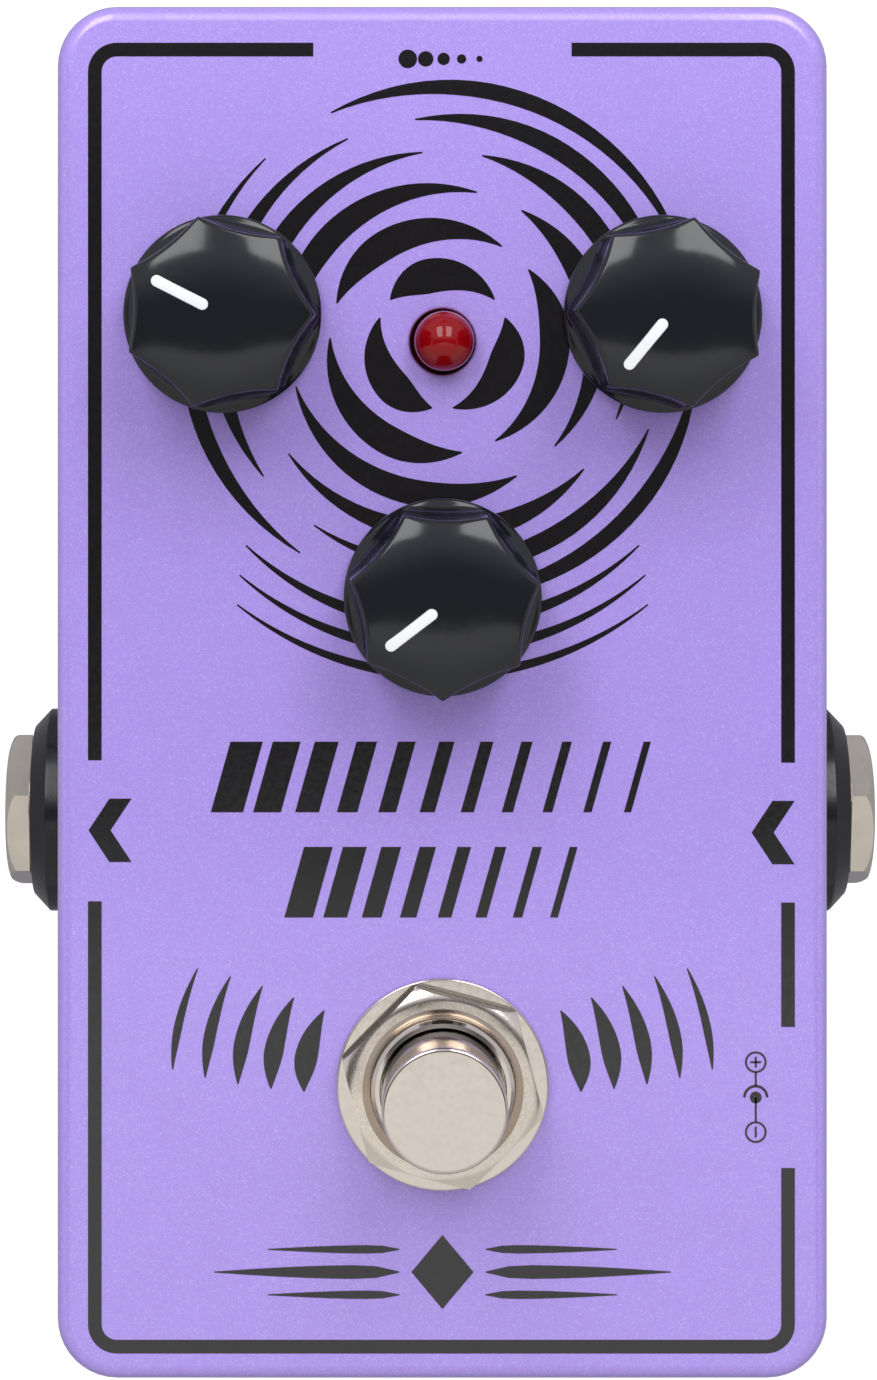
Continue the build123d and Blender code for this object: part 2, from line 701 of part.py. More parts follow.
# Jacks: a moulded body, a threaded metal bushing through the wall, a conical bezel ring and a nut
jack_front = inner_wall_x(jack_axis_z + jack_body_height / 2) - jack_wall_space
jack_back = jack_front - jack_body_length
bushing_back = jack_front - jack_bushing_in_body
bezel_seat = outer_wall_x(jack_axis_z - bezel_r)
bezel_face = bezel_seat + bezel_rim + bezel_slope
nut_face = bezel_face + jack_nut_height
cavity_back = jack_back + jack_back_wall
contact_floor_z = jack_axis_z - jack_cavity_height / 2
contact_places = [bushing_back - front_contact_back, bushing_back - rear_contact_back]
contact_drop = contact_floor_z - pin_bottom_z
jack_sides = {"left": (-1, left_jack_nut_turn), "right": (1, right_jack_nut_turn)}
for name, (side, nut_turn) in jack_sides.items():
    with BuildPart() as jack_body:
        with BuildSketch(side_plane(side, jack_y, jack_axis_z, jack_back)):
            RectangleRounded(jack_body_width, jack_body_height, jack_body_corner)
        extrude(amount=jack_body_length)
        with BuildSketch(side_plane(side, jack_y, jack_axis_z, cavity_back)):
            RectangleRounded(jack_cavity_width, jack_cavity_height, jack_cavity_corner)
        extrude(amount=bushing_back - cavity_back, mode=Mode.SUBTRACT)
        with BuildSketch(side_plane(side, jack_y, jack_axis_z, bushing_back)):
            Circle(jack_bushing_r + thread_clearance)
        extrude(amount=jack_bushing_in_body, mode=Mode.SUBTRACT)
        with BuildSketch(Plane.XY.offset(jack_body_bottom_z)):
            with Locations(*[(side * place, jack_y) for place in contact_places]):
                Rectangle(contact_thickness + 2 * pin_clearance, contact_width + 2 * pin_clearance)
        extrude(amount=contact_floor_z - jack_body_bottom_z, mode=Mode.SUBTRACT)
    jack_body.part.label = f"{name}_jack_body"
    export_step(jack_body.part, f"parts/{name}_jack_body.step")

    with BuildPart() as jack_bushing:
        with BuildSketch(side_plane(side, jack_y, jack_axis_z, bushing_back)):
            Circle(jack_bushing_r)
            Circle(jack_bore_r, mode=Mode.SUBTRACT)
        extrude(amount=nut_face - jack_nut_proud - bushing_back)
    jack_bushing.part.label = f"{name}_jack_bushing"
    export_step(jack_bushing.part, f"parts/{name}_jack_bushing.step")

    with BuildPart() as jack_contacts:
        for place in contact_places:
            with BuildSketch(Plane.XZ.offset(-jack_y)):
                with BuildLine() as leaf:
                    start = side * place
                    FilletPolyline(
                        (start, contact_floor_z - contact_drop),
                        (start, contact_floor_z + contact_thickness),
                        (start - side * contact_foot_run, contact_floor_z + contact_lift),
                        (start - 2 * side * contact_foot_run, contact_floor_z + contact_thickness),
                        radius=contact_bend_r,
                    )
                    offset(amount=contact_thickness / 2)
                make_face()
            extrude(amount=contact_width / 2, both=True)
    jack_contacts.part.label = f"{name}_jack_contacts"
    export_step(jack_contacts.part, f"parts/{name}_jack_contacts.step")

    with BuildPart() as jack_bezel:
        with BuildSketch(side_plane(side, jack_y, jack_axis_z, bezel_seat)):
            Circle(bezel_r)
        extrude(amount=bezel_rim + bezel_slope)
        outer_edge = jack_bezel.edges().sort_by(Axis.X)[-1 if side > 0 else 0]
        chamfer(outer_edge, length=bezel_slope, length2=bezel_r - bezel_face_r)
        with BuildSketch(side_plane(side, jack_y, jack_axis_z, bezel_seat)):
            Circle(jack_bushing_r + hole_clearance)
        extrude(amount=bezel_rim + bezel_slope, mode=Mode.SUBTRACT)
    jack_bezel.part.label = f"{name}_jack_bezel"
    export_step(jack_bezel.part, f"parts/{name}_jack_bezel.step")

    with BuildPart() as jack_nut:
        add(
            chamfered_hex_nut(
                side_plane(side, jack_y, jack_axis_z, bezel_face),
                jack_nut_flats,
                jack_nut_height,
                jack_bushing_r + thread_clearance,
                turn=nut_turn,
                both_faces=True,
            )
        )
    jack_nut.part.label = f"{name}_jack_nut"
    export_step(jack_nut.part, f"parts/{name}_jack_nut.step")

# Power socket: a block on the jack board behind the hole, with its bore, centre pin and spring contact
dc_front = inner_wall_x(dc_axis_z + dc_body_height - dc_axis_above_board) - dc_wall_space
dc_back = dc_front - dc_body_length
dc_bore_back = dc_front - dc_bore_depth
dc_middle_z = jack_board_top_z + dc_body_height / 2
with BuildPart() as dc_socket_body:
    with BuildSketch(side_plane(1, dc_y, dc_middle_z, dc_back)):
        Rectangle(dc_body_width, dc_body_height)
    extrude(amount=dc_body_length)
    with BuildSketch(side_plane(1, dc_y, dc_axis_z, dc_bore_back)):
        Circle(dc_bore_r)
    extrude(amount=dc_bore_depth, mode=Mode.SUBTRACT)
    with BuildSketch(side_plane(1, dc_y, dc_axis_z, dc_back)):
        Circle(dc_pin_r + thread_clearance)
    extrude(amount=dc_body_length - dc_bore_depth, mode=Mode.SUBTRACT)
    with BuildSketch(Plane.XY.offset(jack_board_top_z)):
        with Locations((dc_bore_back + dc_spring_length / 2, dc_y)):
            Rectangle(dc_spring_length + 2 * pin_clearance, dc_tail_width + 2 * pin_clearance)
    extrude(amount=dc_axis_above_board, mode=Mode.SUBTRACT)
dc_socket_body.part.label = "dc_socket_body"
export_step(dc_socket_body.part, "parts/dc_socket_body.step")

with BuildPart() as dc_socket_pin:
    with BuildSketch(side_plane(1, dc_y, dc_axis_z, dc_back)):
        Circle(dc_pin_r)
    extrude(amount=dc_body_length - dc_pin_recess)
    fillet(dc_socket_pin.edges().sort_by(Axis.X)[-1], radius=dc_pin_r / 2)
    with BuildSketch(Plane.XY.offset(pin_bottom_z)):
        with Locations((dc_back - dc_tail_thickness / 2, dc_y)):
            Rectangle(dc_tail_thickness, dc_tail_width)
    extrude(amount=dc_axis_z + dc_pin_r - pin_bottom_z)
dc_socket_pin.part.label = "dc_socket_pin"
export_step(dc_socket_pin.part, "parts/dc_socket_pin.step")

dc_spring_z = dc_axis_z - dc_bore_r - contact_thickness
with BuildPart() as dc_socket_contact:
    with BuildSketch(Plane.XY.offset(dc_spring_z)):
        with Locations((dc_bore_back + dc_spring_length / 2, dc_y)):
            Rectangle(dc_spring_length, dc_tail_width)
    extrude(amount=contact_thickness)
    with BuildSketch(Plane.XY.offset(pin_bottom_z)):
        with Locations((dc_bore_back + dc_tail_thickness / 2, dc_y)):
            Rectangle(dc_tail_thickness, dc_tail_width)
    extrude(amount=dc_spring_z + contact_thickness - pin_bottom_z)
dc_socket_contact.part.label = "dc_socket_contact"
export_step(dc_socket_contact.part, "parts/dc_socket_contact.step")

# Indicator light: a moulded lens with a flange below the panel, on two leads from the main board
led_flange_z = panel_inner_z - led_below_panel - led_flange_height
with BuildPart() as led_lens:
    with BuildSketch(Plane.XY.offset(led_flange_z)):
        with Locations((0, led_y)):
            Circle(led_flange_r)
    extrude(amount=led_flange_height)
    with BuildSketch(Plane.XY.offset(led_flange_z)):
        with Locations((0, led_y)):
            Circle(led_r)
    extrude(amount=led_height - led_r)
    with Locations((0, led_y, led_flange_z + led_height - led_r)):
        Sphere(led_r)
led_lens.part.label = "led_lens"
export_step(led_lens.part, "parts/led_lens.step")

led_lead_points = [(-led_lead_spacing / 2, led_y), (led_lead_spacing / 2, led_y)]
with BuildPart() as led_leads:
    with BuildSketch(Plane.XY.offset(main_board_bottom_z - pin_past_board)):
        with Locations(*led_lead_points):
            Rectangle(led_lead_side, led_lead_side)
    extrude(amount=led_flange_z - main_board_bottom_z + pin_past_board)
led_leads.part.label = "led_leads"
export_step(led_leads.part, "parts/led_leads.step")

# Main board: hangs below the pots on their terminals, and links down to the jack board
link_grid = GridLocations(link_pitch, link_pitch, link_columns, link_rows)
link_points = [(spot.position.X, link_y + spot.position.Y) for spot in link_grid]
with BuildPart() as main_board:
    with BuildSketch(Plane.XY.offset(main_board_bottom_z)):
        with Locations((0, (main_board_front_y + main_board_back_y) / 2)):
            RectangleRounded(board_width, main_board_back_y - main_board_front_y, board_corner)
        with Locations(*terminal_points):
            Circle(terminal_r + pin_clearance, mode=Mode.SUBTRACT)
        with Locations(*led_lead_points):
            Circle(led_lead_side / 2 + 2 * pin_clearance, mode=Mode.SUBTRACT)
        with Locations(*link_points):
            Circle(link_pin_side / 2 + 2 * pin_clearance, mode=Mode.SUBTRACT)
    extrude(amount=board_thickness)
main_board.part.label = "main_board"
export_step(main_board.part, "parts/main_board.step")

# Jack board: carries both jacks, the power socket and the lugs of the foot switch
with BuildPart() as jack_board:
    with BuildSketch(Plane.XY.offset(jack_board_bottom_z)):
        with Locations((0, (jack_board_front_y + jack_board_back_y) / 2)):
            RectangleRounded(board_width, jack_board_back_y - jack_board_front_y, board_corner)
        with Locations((0, switch_y)):
            with GridLocations(lug_spacing_x, lug_spacing_y, 3, 3):
                Rectangle(lug_width + 2 * pin_clearance, lug_thickness + 2 * pin_clearance, mode=Mode.SUBTRACT)
        with Locations(*[(side * place, jack_y) for side in (-1, 1) for place in contact_places]):
            Rectangle(
                contact_thickness + 2 * pin_clearance, contact_width + 2 * pin_clearance, mode=Mode.SUBTRACT
            )
        with Locations((dc_back - dc_tail_thickness / 2, dc_y), (dc_bore_back + dc_tail_thickness / 2, dc_y)):
            Rectangle(
                dc_tail_thickness + 2 * pin_clearance, dc_tail_width + 2 * pin_clearance, mode=Mode.SUBTRACT
            )
        with Locations(*link_points):
            Circle(link_pin_side / 2 + 2 * pin_clearance, mode=Mode.SUBTRACT)
    extrude(amount=board_thickness)
jack_board.part.label = "jack_board"
export_step(jack_board.part, "parts/jack_board.step")


def board_chip(x, y, length):
    """A chip under the main board: its package with an end notch, and its two rows of legs."""
    legs_a_side = int(length / chip_leg_pitch)
    package_top_z = main_board_bottom_z - chip_standoff
    leg_knee_z = package_top_z - chip_thickness / 2
    with BuildPart() as chip:
        with BuildSketch(Plane.XY.offset(package_top_z)):
            with Locations((x, y)):
                Rectangle(length, chip_width)
            with Locations((x - length / 2, y)):
                Circle(chip_notch_r, mode=Mode.SUBTRACT)
        extrude(amount=-chip_thickness)
        with BuildSketch(Plane.XY.offset(leg_knee_z)):
            with Locations((x, y)):
                with GridLocations(chip_leg_pitch, chip_row_spacing, legs_a_side, 2):
                    Rectangle(chip_leg_width, chip_leg_thickness)
        extrude(amount=main_board_bottom_z - leg_knee_z)
        with BuildSketch(Plane.XY.offset(leg_knee_z)):
            with Locations((x, y)):
                with GridLocations(chip_leg_pitch, 0, legs_a_side, 1):
                    Rectangle(chip_leg_width, chip_row_spacing + chip_leg_thickness)
        extrude(amount=-chip_leg_thickness)
    return chip.part


def under_board(*places):
    """Turns (side, steps in from that side, steps in from the back) into points under the main board."""
    return [
        (side * (board_width / 2 - across * part_grid), main_board_back_y - back * part_grid)
        for side, across, back in places
    ]


with BuildPart() as delay_chip:
    for x, y in under_board((-1, 40, 49)):
        add(board_chip(x, y, delay_chip_length))
delay_chip.part.label = "delay_chip"
export_step(delay_chip.part, "parts/delay_chip.step")

with BuildPart() as amplifier_chips:
    for x, y in under_board((1, 29, 43), (1, 29, 67)):
        add(board_chip(x, y, amplifier_chip_length))
amplifier_chips.part.label = "amplifier_chips"
export_step(amplifier_chips.part, "parts/amplifier_chips.step")

# Capacitors, resistors and the regulator below the main board
capacitor_places = under_board((-1, 9, 28), (-1, 9, 44), (-1, 9, 60), (1, 9, 28), (1, 9, 58), (1, 9, 74))
with BuildPart() as electrolytic_capacitors:
    with Locations((0, 0, main_board_bottom_z)):
        with Locations(*capacitor_places):
            Cylinder(capacitor_r, capacitor_height, align=(Align.CENTER, Align.CENTER, Align.MAX))
    chamfer(electrolytic_capacitors.edges().group_by(Axis.Z)[0], length=capacitor_edge)
electrolytic_capacitors.part.label = "electrolytic_capacitors"
export_step(electrolytic_capacitors.part, "parts/electrolytic_capacitors.step")

film_places = under_board((-1, 13, 6), (-1, 33, 6), (1, 33, 6), (-1, 13, 15), (-1, 33, 15), (1, 33, 15))
with BuildPart() as film_capacitors:
    with BuildSketch(Plane.XY.offset(main_board_bottom_z)):
        with Locations(*film_places):
            RectangleRounded(film_length, film_width, film_edge_r)
    extrude(amount=-film_height)
film_capacitors.part.label = "film_capacitors"
export_step(film_capacitors.part, "parts/film_capacitors.step")

resistor_places = under_board(
    (0, 0, 7), (0, 0, 14), (0, 0, 21), (1, 29, 30), (1, 29, 55), (-1, 40, 34), (-1, 40, 64)
)
resistor_z = main_board_bottom_z - resistor_r
with BuildPart() as resistors:
    with Locations((0, 0, resistor_z)):
        with Locations(*resistor_places):
            Cylinder(resistor_r - resistor_waist, resistor_length, rotation=(0, 90, 0))
            with GridLocations(resistor_length - 2 * resistor_r, 0, 2, 1):
                Cylinder(resistor_r, 2 * resistor_r, rotation=(0, 90, 0))
resistors.part.label = "resistors"
export_step(resistors.part, "parts/resistors.step")

regulator_places = under_board((1, 9, 42))
with BuildPart() as voltage_regulator:
    with BuildSketch(Plane.XY.offset(main_board_bottom_z)):
        with Locations(*regulator_places):
            Circle(regulator_r)
            with Locations((0, -regulator_flat - regulator_r)):
                Rectangle(2 * regulator_r, 2 * regulator_r, mode=Mode.SUBTRACT)
    extrude(amount=-regulator_height)
voltage_regulator.part.label = "voltage_regulator"
export_step(voltage_regulator.part, "parts/voltage_regulator.step")

# Link between the boards: a strip on each board and the pins that run through both
link_length = link_columns * link_pitch
link_width = link_rows * link_pitch
with BuildPart() as link_headers:
    with BuildSketch(Plane.XY.offset(jack_board_top_z)) as lower_strip:
        with Locations((0, link_y)):
            Rectangle(link_length, link_width)
        with Locations(*link_points):
            Rectangle(link_pin_side, link_pin_side, mode=Mode.SUBTRACT)
    extrude(amount=link_header_height)
    with BuildSketch(Plane.XY.offset(main_board_bottom_z)):
        with Locations((0, link_y)):
            Rectangle(link_length, link_width)
        with Locations(*link_points):
            Rectangle(link_pin_side, link_pin_side, mode=Mode.SUBTRACT)
    extrude(amount=-link_header_height)
link_headers.part.label = "link_headers"
export_step(link_headers.part, "parts/link_headers.step")

with BuildPart() as link_pins:
    with BuildSketch(Plane.XY.offset(pin_bottom_z)):
        with Locations(*link_points):
            Rectangle(link_pin_side, link_pin_side)
    extrude(amount=main_board_top_z - pin_bottom_z)
link_pins.part.label = "link_pins"
export_step(link_pins.part, "parts/link_pins.step")
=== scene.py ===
import json
import math

import bmesh
import bpy
from mathutils import Matrix, Vector


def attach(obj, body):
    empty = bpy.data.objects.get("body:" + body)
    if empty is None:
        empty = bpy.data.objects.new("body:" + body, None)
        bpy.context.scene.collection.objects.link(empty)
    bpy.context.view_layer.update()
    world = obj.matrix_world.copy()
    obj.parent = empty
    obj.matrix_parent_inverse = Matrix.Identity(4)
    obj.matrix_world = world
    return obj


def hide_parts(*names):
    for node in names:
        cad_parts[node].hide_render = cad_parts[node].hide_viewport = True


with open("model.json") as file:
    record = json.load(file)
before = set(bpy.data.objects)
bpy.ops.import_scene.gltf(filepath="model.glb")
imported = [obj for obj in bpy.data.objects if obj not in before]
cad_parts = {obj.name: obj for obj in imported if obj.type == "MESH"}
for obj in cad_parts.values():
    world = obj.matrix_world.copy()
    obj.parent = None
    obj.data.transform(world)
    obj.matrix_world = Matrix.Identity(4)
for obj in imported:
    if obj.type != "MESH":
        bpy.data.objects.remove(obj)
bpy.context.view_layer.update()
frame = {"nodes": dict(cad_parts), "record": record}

# Studio: a white floor, a pale room that is dim straight overhead, and two softboxes behind the pedal.
# The camera hangs over the back half of the pedal and looks down, with its lens shifted to the front.
MM = 0.001
FRONT_LIGHT, FAR_FRONT_LIGHT = 1.04, 0.66
BACK_LIGHT, LOW_BACK_SHARE = 0.72, 0.3
SIDE_LIGHT, OVERHEAD_LIGHT = 0.7, 0.13
FRONT_EDGE_BOW = 0.35
LEAST_RISE = 0.02
WHITE = (1, 1, 1, 1)
COOL_WHITE = (0.94, 0.97, 1.06, 1)
SOFTBOX_LIGHT = 4.6
SOFTBOX_WIDTH, SOFTBOX_LENGTH = 0.34, 0.68
SOFTBOX_OFFSETS, SOFTBOX_DISTANCE = (-0.29, 0.27), 0.95
SOFTBOX_LEAN = math.radians(38)
PAPER_GREY, PAPER_LIFT = 0.4, 0.8
FLOOR_REACH = 1500

scene = bpy.context.scene
scene.view_settings.view_transform = "Standard"

camera = bpy.data.objects.new("camera", bpy.data.cameras.new("camera"))
camera.location = (-0.0052, 0.0261, 0.3975)
camera.data.sensor_width = 36
camera.data.lens = 112.3
camera.data.shift_x = 0.0422
camera.data.shift_y = -0.2238
camera.data.clip_start = 0.01
scene.collection.objects.link(camera)
scene.camera = camera


def linked(tree, socket, value):
    """Sets a socket to a plain value, or links it where the value is another node's output."""
    if isinstance(value, bpy.types.NodeSocket):
        tree.links.new(value, socket)
    else:
        socket.default_value = value


def maths(tree, operation, *values):
    """A Math node with its inputs filled, as its output."""
    node = tree.nodes.new("ShaderNodeMath")
    node.operation = operation
    for socket, value in zip(node.inputs, values):
        linked(tree, socket, value)
    return node.outputs[0]


def ranged(tree, value, start, end, low, high):
    """A smooth Map Range node from start..end to low..high, as its output."""
    node = tree.nodes.new("ShaderNodeMapRange")
    node.interpolation_type = "SMOOTHSTEP"
    for socket, value in zip(node.inputs[:5], (value, start, end, low, high)):
        linked(tree, socket, value)
    return node.outputs[0]


def seen_by_camera(tree):
    """1 for a ray from the camera, also one that has gone through clear material, and 0 for others."""
    ray = tree.nodes.new("ShaderNodeLightPath")
    return maths(tree, "MAXIMUM", ray.outputs["Is Camera Ray"], ray.outputs["Is Transmission Ray"])


# The room's light depends on how far a direction leans: across to the sides, along to the back.
room = bpy.data.worlds.new("room")
scene.world = room
room.use_nodes = True
tree = room.node_tree
tree.nodes.clear()
direction = tree.nodes.new("ShaderNodeTexCoord").outputs["Generated"]
heading = tree.nodes.new("ShaderNodeSeparateXYZ")
tree.links.new(direction, heading.inputs[0])
upward = maths(tree, "MAXIMUM", heading.outputs["Z"], LEAST_RISE)
across = maths(tree, "DIVIDE", heading.outputs["X"], upward)
along = maths(tree, "DIVIDE", heading.outputs["Y"], upward)
bowed = maths(tree, "MULTIPLY_ADD", maths(tree, "POWER", across, 2.0), FRONT_EDGE_BOW, along)
front_zone = ranged(tree, bowed, -0.14, -0.09, 1.0, 0.0)
front_fall = ranged(tree, along, -0.45, -0.1, FAR_FRONT_LIGHT, FRONT_LIGHT)
back_zone = ranged(tree, along, -0.04, 0.3, 0.0, BACK_LIGHT)
back_fall = ranged(tree, along, 1.5, 6.0, 1.0, LOW_BACK_SHARE)
side_zone = ranged(tree, maths(tree, "ABSOLUTE", across), 0.6, 1.6, 0.0, SIDE_LIGHT)
room_light = maths(tree, "MAXIMUM", side_zone, OVERHEAD_LIGHT)
for zone, fall in ((front_zone, front_fall), (back_zone, back_fall)):
    room_light = maths(tree, "MAXIMUM", maths(tree, "MULTIPLY", zone, fall), room_light)

seen = seen_by_camera(tree)
unseen = maths(tree, "SUBTRACT", 1.0, seen)
tint = tree.nodes.new("ShaderNodeMix")
tint.data_type = "RGBA"
coolness = ranged(tree, along, -0.06, 0.1, 0.0, 1.0)
tree.links.new(maths(tree, "MULTIPLY", coolness, unseen), tint.inputs["Factor"])
tint.inputs["A"].default_value = WHITE
tint.inputs["B"].default_value = COOL_WHITE
background = tree.nodes.new("ShaderNodeBackground")
tree.links.new(tint.outputs["Result"], background.inputs["Color"])
strength = maths(tree, "ADD", maths(tree, "MULTIPLY", room_light, unseen), seen)
tree.links.new(strength, background.inputs["Strength"])
output = tree.nodes.new("ShaderNodeOutputWorld")
tree.links.new(background.outputs[0], output.inputs[0])

for offset in SOFTBOX_OFFSETS:
    lamp = bpy.data.lights.new("softbox", "AREA")
    lamp.shape = "RECTANGLE"
    lamp.size, lamp.size_y = SOFTBOX_WIDTH, SOFTBOX_LENGTH
    lamp.energy = SOFTBOX_LIGHT * math.pi * lamp.size * lamp.size_y
    softbox = bpy.data.objects.new("softbox", lamp)
    back, up = SOFTBOX_DISTANCE * math.sin(SOFTBOX_LEAN), SOFTBOX_DISTANCE * math.cos(SOFTBOX_LEAN)
    softbox.location = (offset, back, up)
    softbox.rotation_euler = (-SOFTBOX_LEAN, 0, 0)
    scene.collection.objects.link(softbox)


def new_piece(name, points, faces, smooth_angle=35.0):
    """A mesh object from points in millimetres, with outward faces, smooth up to an angle."""
    mesh = bpy.data.meshes.new(name)
    mesh.from_pydata([(x * MM, y * MM, z * MM) for x, y, z in points], [], faces)
    work = bmesh.new()
    work.from_mesh(mesh)
    bmesh.ops.remove_doubles(work, verts=work.verts, dist=1e-7)
    bmesh.ops.recalc_face_normals(work, faces=work.faces)
    work.to_mesh(mesh)
    work.free()
    mesh.shade_smooth()
    mesh.set_sharp_from_angle(angle=math.radians(smooth_angle))
    piece = bpy.data.objects.new(name, mesh)
    scene.collection.objects.link(piece)
    return piece


def paper_material():
    """Grey paper that takes the pedal's shadow, lifted to white where the camera sees it."""
    material = bpy.data.materials.new("studio_paper")
    material.use_nodes = True
    tree = material.node_tree
    tree.nodes.clear()
    paper = tree.nodes.new("ShaderNodeBsdfDiffuse")
    paper.inputs["Color"].default_value = (PAPER_GREY, PAPER_GREY, PAPER_GREY, 1)
    lift = tree.nodes.new("ShaderNodeEmission")
    tree.links.new(maths(tree, "MULTIPLY", seen_by_camera(tree), PAPER_LIFT), lift.inputs["Strength"])
    both = tree.nodes.new("ShaderNodeAddShader")
    tree.links.new(paper.outputs[0], both.inputs[0])
    tree.links.new(lift.outputs[0], both.inputs[1])
    output = tree.nodes.new("ShaderNodeOutputMaterial")
    tree.links.new(both.outputs[0], output.inputs["Surface"])
    return material


corners = [(x * FLOOR_REACH, y * FLOOR_REACH, 0) for x, y in ((-1, -1), (1, -1), (1, 1), (-1, 1))]
floor = new_piece("studio_floor", corners, [(0, 1, 2, 3)])
floor.data.materials.append(paper_material())

# Box: a die-cast aluminium tray with drafted walls and a rolled top edge, sprayed with pearl paint.
# Its holes are drilled through the paint, and four screw bosses stand in its corners.
PANEL_Z, PANEL_INNER_Z, BASE_TOP_Z = 37.5, 35.3, 4.2
PANEL_HALF_X, PANEL_HALF_Y, PANEL_CORNER_R = 32.25, 57.5, 5.0
WALL_SLOPE = math.tan(math.radians(1.0))
WALL, EDGE_R, INNER_EDGE_R = 2.0, 1.3, 0.8
FOOT_CHAMFER, FOOT_CHAMFER_HEIGHT = 0.2, 0.25
KNOB_PLACES = {"left": (-18.35, 31.7, 153.0), "middle": (0.0, 8.1, 217.6), "right": (18.35, 31.7, 230.7)}
LED_Y = 29.4
SWITCH_Y = -32.6
JACK_Y, JACK_Z = -11.6, 18.5
DC_Y, DC_Z = -33.7, 17.1
SCREW_X, SCREW_Y = 27.2, 52.45
BOSS_R, SCREW_HOLE_R, SCREW_HOLE_END = 4.2, 1.5, 13.2
KNOB_HOLE_R, LED_HOLE_R, SWITCH_HOLE_R = 3.7, 2.72, 6.2
JACK_HOLE_R, DC_HOLE_R, DC_MOUTH_R = 4.7, 4.0, 4.3
DC_HOLE_START, DC_MOUTH_START, DC_MOUTH_END = 20, 32.3, 33.0
HOLE_LIP = ((0.0, -0.3), (0.12, -0.08), (0.35, 0.01))
DRILL_BOTTOM, DRILL_TOP = 34.0, 38.0
CUTTER_REACH = 40


def rounded_rectangle(half_x, half_y, corner, z, steps=10):
    """A level ring of points round a rectangle with rounded corners."""
    ring = []
    for quarter, (side_x, side_y) in enumerate(((1, 1), (-1, 1), (-1, -1), (1, -1))):
        for step in range(steps + 1):
            angle = math.pi / 2 * (quarter + step / steps)
            ring.append((
                side_x * (half_x - corner) + corner * math.cos(angle),
                side_y * (half_y - corner) + corner * math.sin(angle),
                z,
            ))
    return ring


def stacked(name, rings, hollow=False, smooth_angle=35.0):
    """A skin over rings of equal count, capped at both ends, or joined end to end when hollow."""
    count = len(rings[0])
    points = [point for ring in rings for point in ring]
    rows = len(rings) if hollow else len(rings) - 1
    faces = []
    for row in range(rows):
        low, high = row * count, (row + 1) % len(rings) * count
        for step in range(count):
            after = (step + 1) % count
            faces.append((low + step, low + after, high + after, high + step))
    if not hollow:
        faces.append(tuple(reversed(range(count))))
        faces.append(tuple(range(len(points) - count, len(points))))
    return new_piece(name, points, faces, smooth_angle)


def circle(x, y, z, radius, count):
    """A level ring of points round a circle."""
    angles = [math.tau * step / count for step in range(count)]
    return [(x + radius * math.cos(angle), y + radius * math.sin(angle), z) for angle in angles]


def turned(name, profile, x=0.0, y=0.0, hollow=False, count=96, smooth_angle=35.0):
    """A round piece from its profile of (radius, height) points."""
    return stacked(name, [circle(x, y, z, radius, count) for radius, z in profile], hollow, smooth_angle)


def settled(piece):
    """Makes the piece's modifiers part of its mesh."""
    graph = bpy.context.evaluated_depsgraph_get()
    mesh = bpy.data.meshes.new_from_object(piece.evaluated_get(graph))
    piece.modifiers.clear()
    piece.data = mesh


def cut(piece, *cutters):
    """Takes the cutters out of the piece, and keeps the result as its own plain mesh."""
    for cutter in cutters:
        step = piece.modifiers.new("cut", "BOOLEAN")
        step.operation = "DIFFERENCE"
        step.solver = "EXACT"
        step.object = cutter
    settled(piece)
    for cutter in cutters:
        bpy.data.objects.remove(cutter)


def flat_shaded(piece, smooth_angle=30.0):
    """Keeps large flat faces flat beside the rounded edges that run into them."""
    piece.data.set_sharp_from_angle(angle=math.radians(smooth_angle))
    weighted = piece.modifiers.new("weighted", "WEIGHTED_NORMAL")
    weighted.keep_sharp = True
    weighted.weight = 100
    settled(piece)


def laid_sideways(piece, side, y, z, out=0.0):
    """Turns a piece made along +Z so that it points out through a side wall."""
    turn = Matrix.Rotation(math.radians(90 * side), 4, "Y")
    piece.data.transform(Matrix.Translation((side * out * MM, y * MM, z * MM)) @ turn)
    return piece


def colour(code):
    """A linear colour from its sRGB hexadecimal code."""
    parts = [int(code[place:place + 2], 16) / 255 for place in (0, 2, 4)]
    return [part / 12.92 if part <= 0.04045 else ((part + 0.055) / 1.055) ** 2.4 for part in parts]


def group_socket(group, name, kind, way, value=None):
    """Adds one named socket to a node group."""
    socket = group.interface.new_socket(name=name, in_out=way, socket_type=kind)
    if value is not None:
        socket.default_value = value


